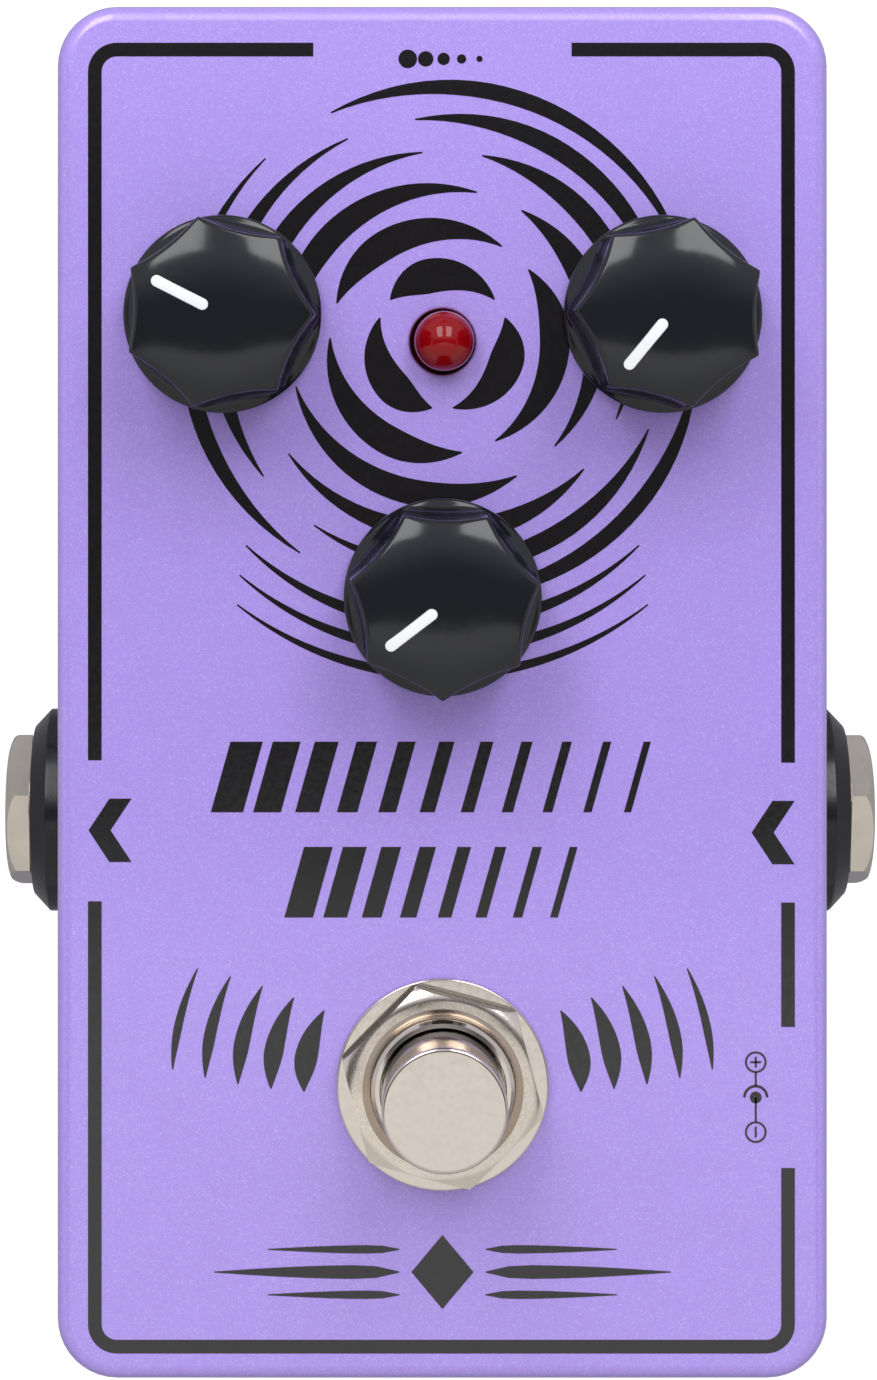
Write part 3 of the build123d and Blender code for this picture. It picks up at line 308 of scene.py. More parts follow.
def surface_grain_group():
    """Shared grain: cloudy tone, fine speckle and a height for bumps, at a scale in cells per metre."""
    cloud_scale, flake_scale, least_flake = 0.06, 2.2, 0.72
    group = bpy.data.node_groups.new("surface_grain", "ShaderNodeTree")
    group_socket(group, "Scale", "NodeSocketFloat", "INPUT", 1500.0)
    group_socket(group, "Cloud", "NodeSocketFloat", "OUTPUT")
    group_socket(group, "Speckle", "NodeSocketFloat", "OUTPUT")
    group_socket(group, "Height", "NodeSocketFloat", "OUTPUT")
    scale = group.nodes.new("NodeGroupInput").outputs["Scale"]
    result = group.nodes.new("NodeGroupOutput")
    place = group.nodes.new("ShaderNodeTexCoord").outputs["Object"]
    fine = group.nodes.new("ShaderNodeTexNoise")
    fine.inputs["Detail"].default_value = 3.0
    group.links.new(scale, fine.inputs["Scale"])
    broad = group.nodes.new("ShaderNodeTexNoise")
    broad.inputs["Detail"].default_value = 2.0
    group.links.new(maths(group, "MULTIPLY", scale, cloud_scale), broad.inputs["Scale"])
    flakes = group.nodes.new("ShaderNodeTexVoronoi")
    group.links.new(maths(group, "MULTIPLY", scale, flake_scale), flakes.inputs["Scale"])
    for pattern in (fine, broad, flakes):
        group.links.new(place, pattern.inputs["Vector"])
    chance = group.nodes.new("ShaderNodeSeparateColor")
    group.links.new(flakes.outputs["Color"], chance.inputs[0])
    group.links.new(broad.outputs[0], result.inputs["Cloud"])
    group.links.new(ranged(group, chance.outputs[0], least_flake, 1.0, 0.0, 1.0), result.inputs["Speckle"])
    group.links.new(fine.outputs[0], result.inputs["Height"])
    return group


surface_grain = surface_grain_group()


def finish(name, base, roughness, metallic=0.0, scale=1500.0, tone=0.06, speckle=0.0, gloss_change=0.06,
           bump=0.02, coat=0.0, coat_roughness=0.1, painted_glint=0.0, **sockets):
    """A material whose colour, gloss and relief all carry the shared grain, with a painted glint: the grain's
    specks mixed towards white in its colour.
    """
    material = bpy.data.materials.new(name)
    material.use_nodes = True
    tree = material.node_tree
    shader = tree.nodes["Principled BSDF"]
    grain = tree.nodes.new("ShaderNodeGroup")
    grain.node_tree = surface_grain
    grain.inputs["Scale"].default_value = scale
    clouds = ranged(tree, grain.outputs["Cloud"], 0.3, 0.7, 1.0 - tone, 1.0 + tone)
    flecks = maths(tree, "MULTIPLY_ADD", grain.outputs["Speckle"], speckle, clouds)
    shaded = tree.nodes.new("ShaderNodeVectorMath")
    shaded.operation = "SCALE"
    shaded.inputs[0].default_value = base
    tree.links.new(flecks, shaded.inputs["Scale"])
    surface = shaded.outputs[0]
    # Painted glint: the flakes' sparkle is painted into the base colour as white specks, rather than coming
    # from light.
    if painted_glint:
        painted_glint_mix = tree.nodes.new("ShaderNodeMix")
        painted_glint_mix.data_type = "RGBA"
        tree.links.new(maths(tree, "MULTIPLY", grain.outputs["Speckle"], painted_glint), painted_glint_mix.inputs["Factor"])
        tree.links.new(surface, painted_glint_mix.inputs["A"])
        painted_glint_mix.inputs["B"].default_value = WHITE
        surface = painted_glint_mix.outputs["Result"]
    tree.links.new(surface, shader.inputs["Base Color"])
    smoothest, roughest = max(roughness - gloss_change, 0.02), roughness + gloss_change
    rough = ranged(tree, grain.outputs["Height"], 0.25, 0.75, smoothest, roughest)
    tree.links.new(rough, shader.inputs["Roughness"])
    relief = tree.nodes.new("ShaderNodeBump")
    relief.inputs["Strength"].default_value = 1.0
    relief.inputs["Distance"].default_value = bump * MM
    tree.links.new(grain.outputs["Height"], relief.inputs["Height"])
    tree.links.new(relief.outputs[0], shader.inputs["Normal"])
    shader.inputs["Metallic"].default_value = metallic
    shader.inputs["Coat Weight"].default_value = coat
    shader.inputs["Coat Roughness"].default_value = coat_roughness
    for socket, value in sockets.items():
        shader.inputs[socket.replace("_", " ")].default_value = value
    return material


def dressed(piece, material, body, slot, *replaced):
    """Gives a piece its finish, its body and the nodes that it stands for. The slot is not used."""
    piece.data.materials.clear()
    piece.data.materials.append(material)
    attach(piece, body)
    if replaced:
        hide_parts(*replaced)


def box_half(z):
    """Half the box's width, half its length and its corner radius at height z."""
    lean = (PANEL_Z - z) * WALL_SLOPE
    return PANEL_HALF_X + lean, PANEL_HALF_Y + lean, PANEL_CORNER_R + lean


def box_rings(inset, low, top, edge, chamfer=0.0, steps=10):
    """Rings up a drafted wall from its chamfered foot and over its rounded top edge."""
    rings = []
    for z, tuck in ((low, inset + chamfer), (low + FOOT_CHAMFER_HEIGHT, inset), (top - edge, inset)):
        half_x, half_y, corner = box_half(z)
        rings.append(rounded_rectangle(half_x - tuck, half_y - tuck, corner - tuck, z))
    half_x, half_y, corner = box_half(top)
    for step in range(1, steps + 1):
        angle = math.pi / 2 * step / steps
        tuck = inset + edge * (1 - math.cos(angle))
        z = top - edge + edge * math.sin(angle)
        rings.append(rounded_rectangle(half_x - tuck, half_y - tuck, corner - tuck, z))
    return rings


def drilled(x, y, radius):
    """A cutter for a hole in the panel, with the paint's soft lip at its mouth."""
    lip = [(radius + spread, PANEL_Z + rise) for spread, rise in HOLE_LIP]
    return turned("drill", [(radius, DRILL_BOTTOM)] + lip + [(lip[-1][0], DRILL_TOP)], x, y)


box_shell = stacked("box_shell", box_rings(0.0, BASE_TOP_Z, PANEL_Z, EDGE_R, FOOT_CHAMFER))
hollow_cutter = stacked("hollow_cutter", box_rings(WALL, BASE_TOP_Z - 1.0, PANEL_INNER_Z, INNER_EDGE_R))
corner_screws = [(x, y) for x in (-SCREW_X, SCREW_X) for y in (-SCREW_Y, SCREW_Y)]
boss_profile = [(BOSS_R, 0), (BOSS_R, CUTTER_REACH)]
cut(hollow_cutter, *[turned("boss", boss_profile, x, y) for x, y in corner_screws])
holes = [drilled(x, y, KNOB_HOLE_R) for x, y, heading in KNOB_PLACES.values()]
holes += [drilled(0, LED_Y, LED_HOLE_R), drilled(0, SWITCH_Y, SWITCH_HOLE_R)]
for x, y in corner_screws:
    holes.append(turned("drill", [(SCREW_HOLE_R, 0), (SCREW_HOLE_R, SCREW_HOLE_END)], x, y, count=32))
jack_holes = turned("drill", [(JACK_HOLE_R, -CUTTER_REACH), (JACK_HOLE_R, CUTTER_REACH)])
holes.append(laid_sideways(jack_holes, 1, JACK_Y, JACK_Z))
dc_profile = [(DC_HOLE_R, DC_HOLE_START), (DC_HOLE_R, DC_MOUTH_START), (DC_MOUTH_R, DC_MOUTH_END),
              (DC_MOUTH_R, CUTTER_REACH)]
holes.append(laid_sideways(turned("drill", dc_profile), 1, DC_Y, DC_Z))
cut(box_shell, hollow_cutter, *holes)
flat_shaded(box_shell)

# The pearl paint's sparkle is a painted glint: white specks mixed into its colour.
box_paint = finish("pearl_paint", colour("AF94EC"), 0.42, metallic=0.2, scale=6000.0, tone=0.01, speckle=0.06,
                   gloss_change=0.04, bump=0.0025, coat=1.0, coat_roughness=0.07, painted_glint=0.17)
dressed(box_shell, box_paint, "case", "box_paint", "enclosure")

# Base: a cast lid held by four countersunk screws, on round rubber bumpers stuck near its corners.
# Its parting line, screws and bumpers are seen only from the sides and from below.
AXIS_R = 0.02
SCREW_HEAD_Z, SCREW_NECK_Z, SCREW_END_Z = 2.2, 3.65, 11.7
SCREW_HEAD_R, SCREW_R = 2.9, 1.45
SLOT_HALF_LENGTH, SLOT_HALF_WIDTH = 1.6, 0.35
SLOT_START_Z, SLOT_END_Z = 1.9, 3.1
BUMPER_R, BUMPER_TOP_R, BUMPER_HEIGHT = 5.0, 5.6, 2.2
BUMPER_DISH_R, BUMPER_RIM_R, BUMPER_DISH = 3.3, 3.6, 0.12
BUMPER_SPACING_X, BUMPER_SPACING_Y = 41.5, 88.0


def eased(profile, radius, steps=4, hollow=True):
    """The profile with its corners rounded, each by up to the radius."""
    result = []
    last = len(profile)
    for index, point in enumerate(profile):
        here = Vector(point)
        if not hollow and index in (0, last - 1):
            result.append(point)
            continue
        before = Vector(profile[index - 1]) - here
        after = Vector(profile[(index + 1) % last]) - here
        run = min(radius, 0.45 * before.length, 0.45 * after.length)
        start, end = here + before.normalized() * run, here + after.normalized() * run
        for step in range(steps + 1):
            share = step / steps
            result.append(tuple(start.lerp(here, share).lerp(here.lerp(end, share), share)))
    return result


def piece_grid_group():
    """A node tree that sets one piece on each corner of a rectangle."""
    group = bpy.data.node_groups.new("piece_grid", "GeometryNodeTree")
    group.is_modifier = True
    group_socket(group, "Piece", "NodeSocketObject", "INPUT")
    group_socket(group, "Spacing X", "NodeSocketFloat", "INPUT", 0.05)
    group_socket(group, "Spacing Y", "NodeSocketFloat", "INPUT", 0.09)
    group_socket(group, "Finish", "NodeSocketMaterial", "INPUT")
    group_socket(group, "Geometry", "NodeSocketGeometry", "OUTPUT")
    given = group.nodes.new("NodeGroupInput")
    result = group.nodes.new("NodeGroupOutput")
    corners = group.nodes.new("GeometryNodeMeshGrid")
    corners.inputs["Vertices X"].default_value = 2
    corners.inputs["Vertices Y"].default_value = 2
    group.links.new(given.outputs["Spacing X"], corners.inputs["Size X"])
    group.links.new(given.outputs["Spacing Y"], corners.inputs["Size Y"])
    source = group.nodes.new("GeometryNodeObjectInfo")
    group.links.new(given.outputs["Piece"], source.inputs["Object"])
    copies = group.nodes.new("GeometryNodeInstanceOnPoints")
    group.links.new(corners.outputs["Mesh"], copies.inputs["Points"])
    group.links.new(source.outputs["Geometry"], copies.inputs["Instance"])
    real = group.nodes.new("GeometryNodeRealizeInstances")
    group.links.new(copies.outputs[0], real.inputs[0])
    finished = group.nodes.new("GeometryNodeSetMaterial")
    group.links.new(real.outputs[0], finished.inputs["Geometry"])
    group.links.new(given.outputs["Finish"], finished.inputs["Material"])
    group.links.new(finished.outputs[0], result.inputs[0])
    return group


def grown(name, group, values):
    """The plain mesh that a node tree makes from its named inputs, as a new piece."""
    piece = bpy.data.objects.new(name, bpy.data.meshes.new(name))
    scene.collection.objects.link(piece)
    tree = piece.modifiers.new("tree", "NODES")
    tree.node_group = group
    for item in group.interface.items_tree:
        if item.item_type == "SOCKET" and item.in_out == "INPUT" and item.name in values:
            tree[item.identifier] = values[item.name]
    settled(piece)
    return piece


piece_grid = piece_grid_group()


def four_of(name, model, spacing_x, spacing_y, material):
    """The model on each corner of a rectangle, as one piece in place of the model."""
    four = grown(name, piece_grid, {
        "Piece": model, "Spacing X": spacing_x * MM, "Spacing Y": spacing_y * MM, "Finish": material,
    })
    bpy.data.objects.remove(model)
    return four


zinc_steel = finish("zinc_steel", colour("B9B8B4"), 0.38, metallic=1.0, scale=2500.0, tone=0.08, bump=0.006)
screw_profile = [(AXIS_R, SCREW_HEAD_Z), (SCREW_HEAD_R, SCREW_HEAD_Z), (SCREW_R, SCREW_NECK_Z),
                 (SCREW_R, SCREW_END_Z), (AXIS_R, SCREW_END_Z)]
screw_model = turned("screw_model", eased(screw_profile, 0.12, hollow=False), count=48)
slots = []
for turn in (0, 90):
    corners = [(x * SLOT_HALF_LENGTH, y * SLOT_HALF_WIDTH) for x, y in ((-1, -1), (1, -1), (1, 1), (-1, 1))]
    blade = stacked("blade", [[(x, y, z) for x, y in corners] for z in (SLOT_START_Z, SLOT_END_Z)])
    blade.data.transform(Matrix.Rotation(math.radians(turn), 4, "Z"))
    slots.append(blade)
cut(screw_model, *slots)
lid_screws = four_of("lid_screws", screw_model, 2 * SCREW_X, 2 * SCREW_Y, zinc_steel)
dressed(lid_screws, zinc_steel, "case", "zinc_steel", "base_screws")

foot_rubber = finish("foot_rubber", colour("252527"), 0.82, scale=3500.0, tone=0.12, speckle=0.25, bump=0.03)
bumper_profile = [(AXIS_R, BUMPER_DISH), (BUMPER_DISH_R, BUMPER_DISH), (BUMPER_RIM_R, 0.0), (BUMPER_R, 0.0),
                  (BUMPER_TOP_R, BUMPER_HEIGHT), (AXIS_R, BUMPER_HEIGHT)]
bumper_model = turned("bumper_model", eased(bumper_profile, 0.45, hollow=False), count=64)
bumpers = four_of("rubber_bumpers", bumper_model, BUMPER_SPACING_X, BUMPER_SPACING_Y, foot_rubber)
dressed(bumpers, foot_rubber, "case", "foot_rubber", "rubber_feet")

# Print: black ink silk-screened on the panel. A broken frame line, an arrow at each jack and the polarity
# sign of the power socket, with rings, tapered arcs and slanted bars that fade like repeats of a sound.
INK_THICKNESS, INK_SINK = 0.03, 0.01
FRAME_LINE = 1.14
FRAME_LEFT, FRAME_RIGHT, FRAME_BACK, FRAME_FRONT, FRAME_BEND = -29.07, 28.9, 53.83, -54.64, 1.85
BACK_GAP_X, SIGN_GAP_START, SIGN_GAP_END = 10.8, -27.9, -39.7
LEFT_GAP_START, LEFT_GAP_END, RIGHT_GAP_START, RIGHT_GAP_END = -5.6, -17.4, -5.8, -17.5
ARROW_TIPS = ((-29.6, JACK_Y + 0.14), (25.85, JACK_Y - 0.05))
ARROW_SLANT, ARROW_BAND, ARROW_HALF = 1.75, 1.85, 2.65
SIGN_X, SIGN_LINE, SIGN_R, SIGN_ARM = 26.2, 0.17, 0.82, 0.45
PLUS_Y, MINUS_Y, SIGN_CENTRE_Y = -30.85, -36.7, -33.8
SIGN_LEADS = ((-31.7, -32.85), (SIGN_CENTRE_Y, -35.85))
SLEEVE_R, SLEEVE_LINE, PIN_R = 0.95, 0.22, 0.5
RINGS, BROKEN_RINGS, RING_END = 9, 6, 0.12
RING_R, RING_WIDTH, RING_GAP, RING_SPREAD, RING_FADE = 5.6, 2.9, 1.1, 0.93, 0.86
RING_TURN, RING_REACH, RING_THICKEST = 19, 51, 0.62
OUTER_REACH, OUTER_REACH_FALL = 44, 3
WAVES, WAVE_TURN, WAVE_R, WAVE_PITCH = 5, 76, 11.6, 2.75
WAVE_REACH, WAVE_REACH_FALL, WAVE_WIDTH, WAVE_WIDTH_FALL = 17.5, 1.6, 1.9, 0.3
MARK_Y, MARK_PITCH, MARK_INNER_X, MARK_STEPS = -48.4, 1.9, 3.6, 8
MARK_ROWS = ((-1, 11.0, 0.7), (0, 15.5, 1.15), (1, 11.0, 0.7))
DIAMOND_HALF_X, DIAMOND_HALF_Y = 2.6, 3.1
DOTS, DOT_X, DOT_Y, DOT_PITCH, DOT_R, DOT_R_FALL = 5, -2.9, 53.05, 1.5, 0.78, 0.13
BAR_ROWS = ((-17.2, -7.0, 11, 3.35, 2.7, 0.86), (-11.2, -15.8, 8, 3.05, 2.4, 0.83))
BAR_HEIGHT, BAR_SLANT = 5.9, 0.28


def outline_prism(points, faces, outline):
    """Adds a thin raised shape with the outline to a list of points and faces."""
    start, count = len(points), len(outline)
    points.extend((x, y, PANEL_Z - INK_SINK) for x, y in outline)
    points.extend((x, y, PANEL_Z + INK_THICKNESS) for x, y in outline)
    faces.append(tuple(range(start, start + count)))
    faces.append(tuple(range(start + count, start + 2 * count)))
    for step in range(count):
        after = (step + 1) % count
        faces.append((start + step, start + after, start + count + after, start + count + step))


def stroke(path, width, end_width=None, middle=0.5):
    """The outline of a line along a path, tapering from its middle to its ends if they differ in width."""
    end_width = width if end_width is None else end_width
    left, right = [], []
    for index, (x, y) in enumerate(path):
        before, after = path[max(index - 1, 0)], path[min(index + 1, len(path) - 1)]
        run_x, run_y = after[0] - before[0], after[1] - before[1]
        length = math.hypot(run_x, run_y)
        share = index / (len(path) - 1)
        share = share / middle if share < middle else (1 - share) / (1 - middle)
        half = (end_width + (width - end_width) * math.sin(math.pi / 2 * share)) / 2
        left.append((x - run_y / length * half, y + run_x / length * half))
        right.append((x + run_y / length * half, y - run_x / length * half))
    return left + right[::-1]


def arc(x, y, radius, start, end, steps=28):
    """Points along an arc, its angles in degrees."""
    angles = [math.radians(start + (end - start) * step / steps) for step in range(steps + 1)]
    return [(x + radius * math.cos(angle), y + radius * math.sin(angle)) for angle in angles]


def frame_corner(x, y, start, end):
    """Points round a corner of the frame line, from the place of the corner without its bend."""
    middle_x, middle_y = x - math.copysign(FRAME_BEND, x), y - math.copysign(FRAME_BEND, y)
    return arc(middle_x, middle_y, FRAME_BEND, start, end, steps=10)


back_right = [(BACK_GAP_X, FRAME_BACK)] + frame_corner(FRAME_RIGHT, FRAME_BACK, 90, 0)
back_right.append((FRAME_RIGHT, RIGHT_GAP_START))
right = [(FRAME_RIGHT, RIGHT_GAP_END), (FRAME_RIGHT, SIGN_GAP_START)]
front = [(FRAME_RIGHT, SIGN_GAP_END)] + frame_corner(FRAME_RIGHT, FRAME_FRONT, 0, -90)
front += frame_corner(FRAME_LEFT, FRAME_FRONT, -90, -180) + [(FRAME_LEFT, LEFT_GAP_END)]
back_left = [(FRAME_LEFT, LEFT_GAP_START)] + frame_corner(FRAME_LEFT, FRAME_BACK, 180, 90)
back_left.append((-BACK_GAP_X, FRAME_BACK))
shapes = [stroke(path, FRAME_LINE) for path in (back_right, right, front, back_left)]

for x, y in ARROW_TIPS:
    near, far = x + ARROW_SLANT, x + ARROW_SLANT + ARROW_BAND
    shapes.append([(x, y), (near, y + ARROW_HALF), (far, y + ARROW_HALF), (x + ARROW_BAND, y),
                   (far, y - ARROW_HALF), (near, y - ARROW_HALF)])

for y in (PLUS_Y, MINUS_Y):
    shapes.append(stroke(arc(SIGN_X, y, SIGN_R, 0, 180, steps=24), SIGN_LINE))
    shapes.append(stroke(arc(SIGN_X, y, SIGN_R, 180, 360, steps=24), SIGN_LINE))
    shapes.append(stroke([(SIGN_X, y - SIGN_ARM), (SIGN_X, y + SIGN_ARM)], SIGN_LINE))
shapes.append(stroke([(SIGN_X - SIGN_ARM, PLUS_Y), (SIGN_X + SIGN_ARM, PLUS_Y)], SIGN_LINE))
for start, end in SIGN_LEADS:
    shapes.append(stroke([(SIGN_X, start), (SIGN_X, end)], SIGN_LINE))
shapes.append(stroke(arc(SIGN_X, SIGN_CENTRE_Y, SLEEVE_R, 0, 180, steps=20), SLEEVE_LINE))
shapes.append(arc(SIGN_X, SIGN_CENTRE_Y, PIN_R, 0, 342, steps=19))

ring_r, ring_width = RING_R, RING_WIDTH
for ring in range(RINGS):
    if ring < BROKEN_RINGS:
        for third in (0, 120, 240):
            middle = 90 + ring * RING_TURN + third
            path = arc(0, LED_Y, ring_r, middle - RING_REACH, middle + RING_REACH)
            shapes.append(stroke(path, ring_width, RING_END, RING_THICKEST))
    else:
        reach = OUTER_REACH - OUTER_REACH_FALL * (ring - BROKEN_RINGS)
        path = arc(0, LED_Y, ring_r, 270 - reach, 270 + reach, steps=40)
        shapes.append(stroke(path, ring_width, RING_END))
    ring_r += RING_GAP + ring_width * RING_SPREAD
    ring_width *= RING_FADE

for side in (-1, 1):
    middle = 90 - side * WAVE_TURN
    for wave in range(WAVES):
        radius, reach = WAVE_R + WAVE_PITCH * wave, WAVE_REACH - WAVE_REACH_FALL * wave
        path = arc(0, SWITCH_Y, radius, middle - side * reach, middle + side * reach, steps=20)
        shapes.append(stroke(path, WAVE_WIDTH - WAVE_WIDTH_FALL * wave, end_width=0.1, middle=0.4))

for side in (-1, 1):
    for row, reach, width in MARK_ROWS:
        places = [side * (MARK_INNER_X + step * reach / MARK_STEPS) for step in range(MARK_STEPS + 1)]
        path = [(x, MARK_Y + MARK_PITCH * row) for x in places]
        shapes.append(stroke(path, width, end_width=0.08, middle=0.2))
shapes.append([(-DIAMOND_HALF_X, MARK_Y), (0, MARK_Y + DIAMOND_HALF_Y), (DIAMOND_HALF_X, MARK_Y),
               (0, MARK_Y - DIAMOND_HALF_Y)])
for dot in range(DOTS):
    shapes.append(arc(DOT_X + DOT_PITCH * dot, DOT_Y, DOT_R - DOT_R_FALL * dot, 0, 345, steps=23))

ink = finish("screen_ink", colour("0E0A0E"), 0.12, scale=2600.0, tone=0.08, speckle=0.2, gloss_change=0.03,
             bump=0.0006, IOR=1.66)
points, faces = [], []
for shape in shapes:
    outline_prism(points, faces, shape)
panel_print = new_piece("panel_print", points, faces, smooth_angle=20.0)
dressed(panel_print, ink, "case", "part_black")


def fading_bars_group():
    """A node tree that makes a row of slanted bars, each a set share of the one before it."""
    group = bpy.data.node_groups.new("fading_bars", "GeometryNodeTree")
    group.is_modifier = True
    sizes = {"Pitch": 0.0037, "Bar Width": 0.0026, "Bar Height": 0.006, "Fade": 0.8, "Slant": 0.3}
    for name, value in sizes.items():
        group_socket(group, name, "NodeSocketFloat", "INPUT", value)
    group_socket(group, "Count", "NodeSocketInt", "INPUT", 10)
    group_socket(group, "Place", "NodeSocketVector", "INPUT")
    group_socket(group, "Finish", "NodeSocketMaterial", "INPUT")
    group_socket(group, "Geometry", "NodeSocketGeometry", "OUTPUT")
    given = group.nodes.new("NodeGroupInput")
    result = group.nodes.new("NodeGroupOutput")
    pitch = group.nodes.new("ShaderNodeCombineXYZ")
    group.links.new(given.outputs["Pitch"], pitch.inputs["X"])
    row = group.nodes.new("GeometryNodeMeshLine")
    group.links.new(given.outputs["Count"], row.inputs["Count"])
    group.links.new(pitch.outputs[0], row.inputs["Offset"])
    size = group.nodes.new("ShaderNodeCombineXYZ")
    group.links.new(given.outputs["Bar Width"], size.inputs["X"])
    group.links.new(given.outputs["Bar Height"], size.inputs["Y"])
    size.inputs["Z"].default_value = (INK_THICKNESS + INK_SINK) * MM
    bar = group.nodes.new("GeometryNodeMeshCube")
    group.links.new(size.outputs[0], bar.inputs["Size"])
    index = group.nodes.new("GeometryNodeInputIndex")
    share = maths(group, "POWER", given.outputs["Fade"], index.outputs[0])
    scale = group.nodes.new("ShaderNodeCombineXYZ")
    group.links.new(share, scale.inputs["X"])
    scale.inputs["Y"].default_value = 1.0
    scale.inputs["Z"].default_value = 1.0
    copies = group.nodes.new("GeometryNodeInstanceOnPoints")
    group.links.new(row.outputs[0], copies.inputs["Points"])
    group.links.new(bar.outputs["Mesh"], copies.inputs["Instance"])
    group.links.new(scale.outputs[0], copies.inputs["Scale"])
    real = group.nodes.new("GeometryNodeRealizeInstances")
    group.links.new(copies.outputs[0], real.inputs[0])
    where = group.nodes.new("GeometryNodeInputPosition")
    parts = group.nodes.new("ShaderNodeSeparateXYZ")
    group.links.new(where.outputs[0], parts.inputs[0])
    lean = group.nodes.new("ShaderNodeCombineXYZ")
    group.links.new(maths(group, "MULTIPLY", parts.outputs["Y"], given.outputs["Slant"]), lean.inputs["X"])
    moved = group.nodes.new("ShaderNodeVectorMath")
    group.links.new(lean.outputs[0], moved.inputs[0])
    group.links.new(given.outputs["Place"], moved.inputs[1])
    leaning = group.nodes.new("GeometryNodeSetPosition")
    group.links.new(real.outputs[0], leaning.inputs["Geometry"])
    group.links.new(moved.outputs[0], leaning.inputs["Offset"])
    finished = group.nodes.new("GeometryNodeSetMaterial")
    group.links.new(leaning.outputs[0], finished.inputs["Geometry"])
    group.links.new(given.outputs["Finish"], finished.inputs["Material"])
    group.links.new(finished.outputs[0], result.inputs[0])
    return group


fading_bars = fading_bars_group()
bar_z = PANEL_Z + (INK_THICKNESS - INK_SINK) / 2
for row, (start_x, row_y, count, pitch, width, fade) in enumerate(BAR_ROWS, 1):
    bars = grown(f"fading_bars_{row}", fading_bars, {
        "Pitch": pitch * MM, "Bar Width": width * MM, "Bar Height": BAR_HEIGHT * MM, "Fade": fade,
        "Slant": BAR_SLANT, "Count": count, "Place": (start_x * MM, row_y * MM, bar_z * MM), "Finish": ink,
    })
    dressed(bars, ink, "case", "part_black")

# Knobs: moulded glossy plastic caps with seven scallops that run out into a round skirt, and a low dome.
# A white bar is let into each top, and a set screw holds the knob to its shaft from the side.
KNOB_BOTTOM, KNOB_TOP = 38.3, 51.0
FLUTES = 7
KNOB_COUNT = FLUTES * 28
TIP_R, VALLEY_R, TIP_BLEND = 7.95, 6.75, 0.3
RIM_R, DOME_FALL, RIM_ROLL = 0.35, 0.34, 0.62
SKIRT_R, SKIRT_TOP = 8.25, 1.1
FLARE_R, FLARE_TAPER, FLARE_FALL = 8.03, 0.12, 0.042
HUB_R, HOLLOW_R, HOLLOW_TOP = 3.05, 6.25, 4.4
UNDERSIDE = [(HUB_R, 10.9), (HUB_R, HOLLOW_TOP), (HOLLOW_R, HOLLOW_TOP), (HOLLOW_R, 0.15), (6.4, 0.0),
             (8.1, 0.0), (SKIRT_R, 0.15), (SKIRT_R, 0.85), (8.19, 1.02), (8.05, 1.12)]
WALL_SHARES = (0.006, 0.013, 0.022, 0.035, 0.05, 0.07, 0.1, 0.14, 0.2, 0.3, 0.45, 0.6, 0.75, 0.9, 1.0)
TOP_SHARES = (0.98, 0.94, 0.88, 0.8, 0.7, 0.6, 0.5, 0.4, 0.3, 0.2, 0.1)
POINTER_MIDDLE, POINTER_DEPTH = 3.4, 0.7
GROOVE_LENGTH, GROOVE_WIDTH, BAR_LENGTH, BAR_WIDTH = 5.14, 1.0, 5.1, 0.96
BAR_EDGE = ((BAR_LENGTH, BAR_WIDTH, -0.04), (5.04, 0.9, 0.0), (4.84, 0.7, 0.02))
SET_SCREW_R, SET_SCREW_UP = 1.55, 7.4
SCREW_WAY_START, SCREW_WAY_END = 2.0, 9.0


def scalloped(angle):
    """Radius of the cap's top outline, at an angle from one of its tips."""
    pitch = math.tau / FLUTES
    from_valley = pitch / 2 - abs((angle + pitch / 2) % pitch - pitch / 2)
    half_chord = TIP_R * math.sin(pitch / 2)
    sagitta = TIP_R * math.cos(pitch / 2) - VALLEY_R
    scallop_r = (half_chord ** 2 + sagitta ** 2) / (2 * sagitta)
    centre = VALLEY_R + scallop_r
    reach = centre * math.cos(from_valley) - math.sqrt(scallop_r ** 2 - (centre * math.sin(from_valley)) ** 2)
    soft = max(TIP_BLEND - abs(reach - TIP_R), 0.0)
    return min(reach, TIP_R) - soft * soft / (4 * TIP_BLEND)


def dome_z(radius):
    """Height of the top at a radius: nearly flat in the middle, rolled down towards its rim."""
    share = radius / TIP_R
    return KNOB_TOP - DOME_FALL * share ** 2 - RIM_ROLL * share ** 4


def knob_ring(radius_at, height_at):
    """A ring of the knob from its radius at each angle and its height at each radius."""
    ring = []
    for step in range(KNOB_COUNT):
        angle = math.tau * step / KNOB_COUNT
        radius = radius_at(angle)
        ring.append((radius * math.cos(angle), radius * math.sin(angle), height_at(radius)))
    return ring


def flared(angle, flare):
    """Radius of the cap's wall where it has spread by a share from the top outline to the skirt."""
    top = scalloped(angle)
    return top + (FLARE_R - top) * flare


def knob_mesh(name):
    """The cap with its hollow underneath, made at the origin with a tip along +X."""
    rings = []
    for radius, height in UNDERSIDE:
        rings.append(knob_ring(lambda angle: radius, lambda reach: KNOB_BOTTOM + height))
    low, high = KNOB_BOTTOM + SKIRT_TOP, KNOB_TOP - RIM_R
    for share in WALL_SHARES:
        flare = FLARE_TAPER * (1 - share) + (1 - FLARE_TAPER) * math.exp(-share / FLARE_FALL)
        rings.append(knob_ring(
            lambda angle: flared(angle, flare),
            lambda reach: low + (high - low) * share - (KNOB_TOP - dome_z(reach)) * share,
        ))
    for step in range(1, 7):
        bend = math.pi / 2 * step / 6
        inset, drop = RIM_R * (1 - math.cos(bend)), RIM_R * (1 - math.sin(bend))
        rings.append(knob_ring(lambda angle: scalloped(angle) - inset, lambda reach: dome_z(reach) - drop))
    for share in TOP_SHARES:
        rings.append(knob_ring(lambda angle: (scalloped(angle) - RIM_R) * share, dome_z))
    return stacked(name, rings, smooth_angle=40.0)


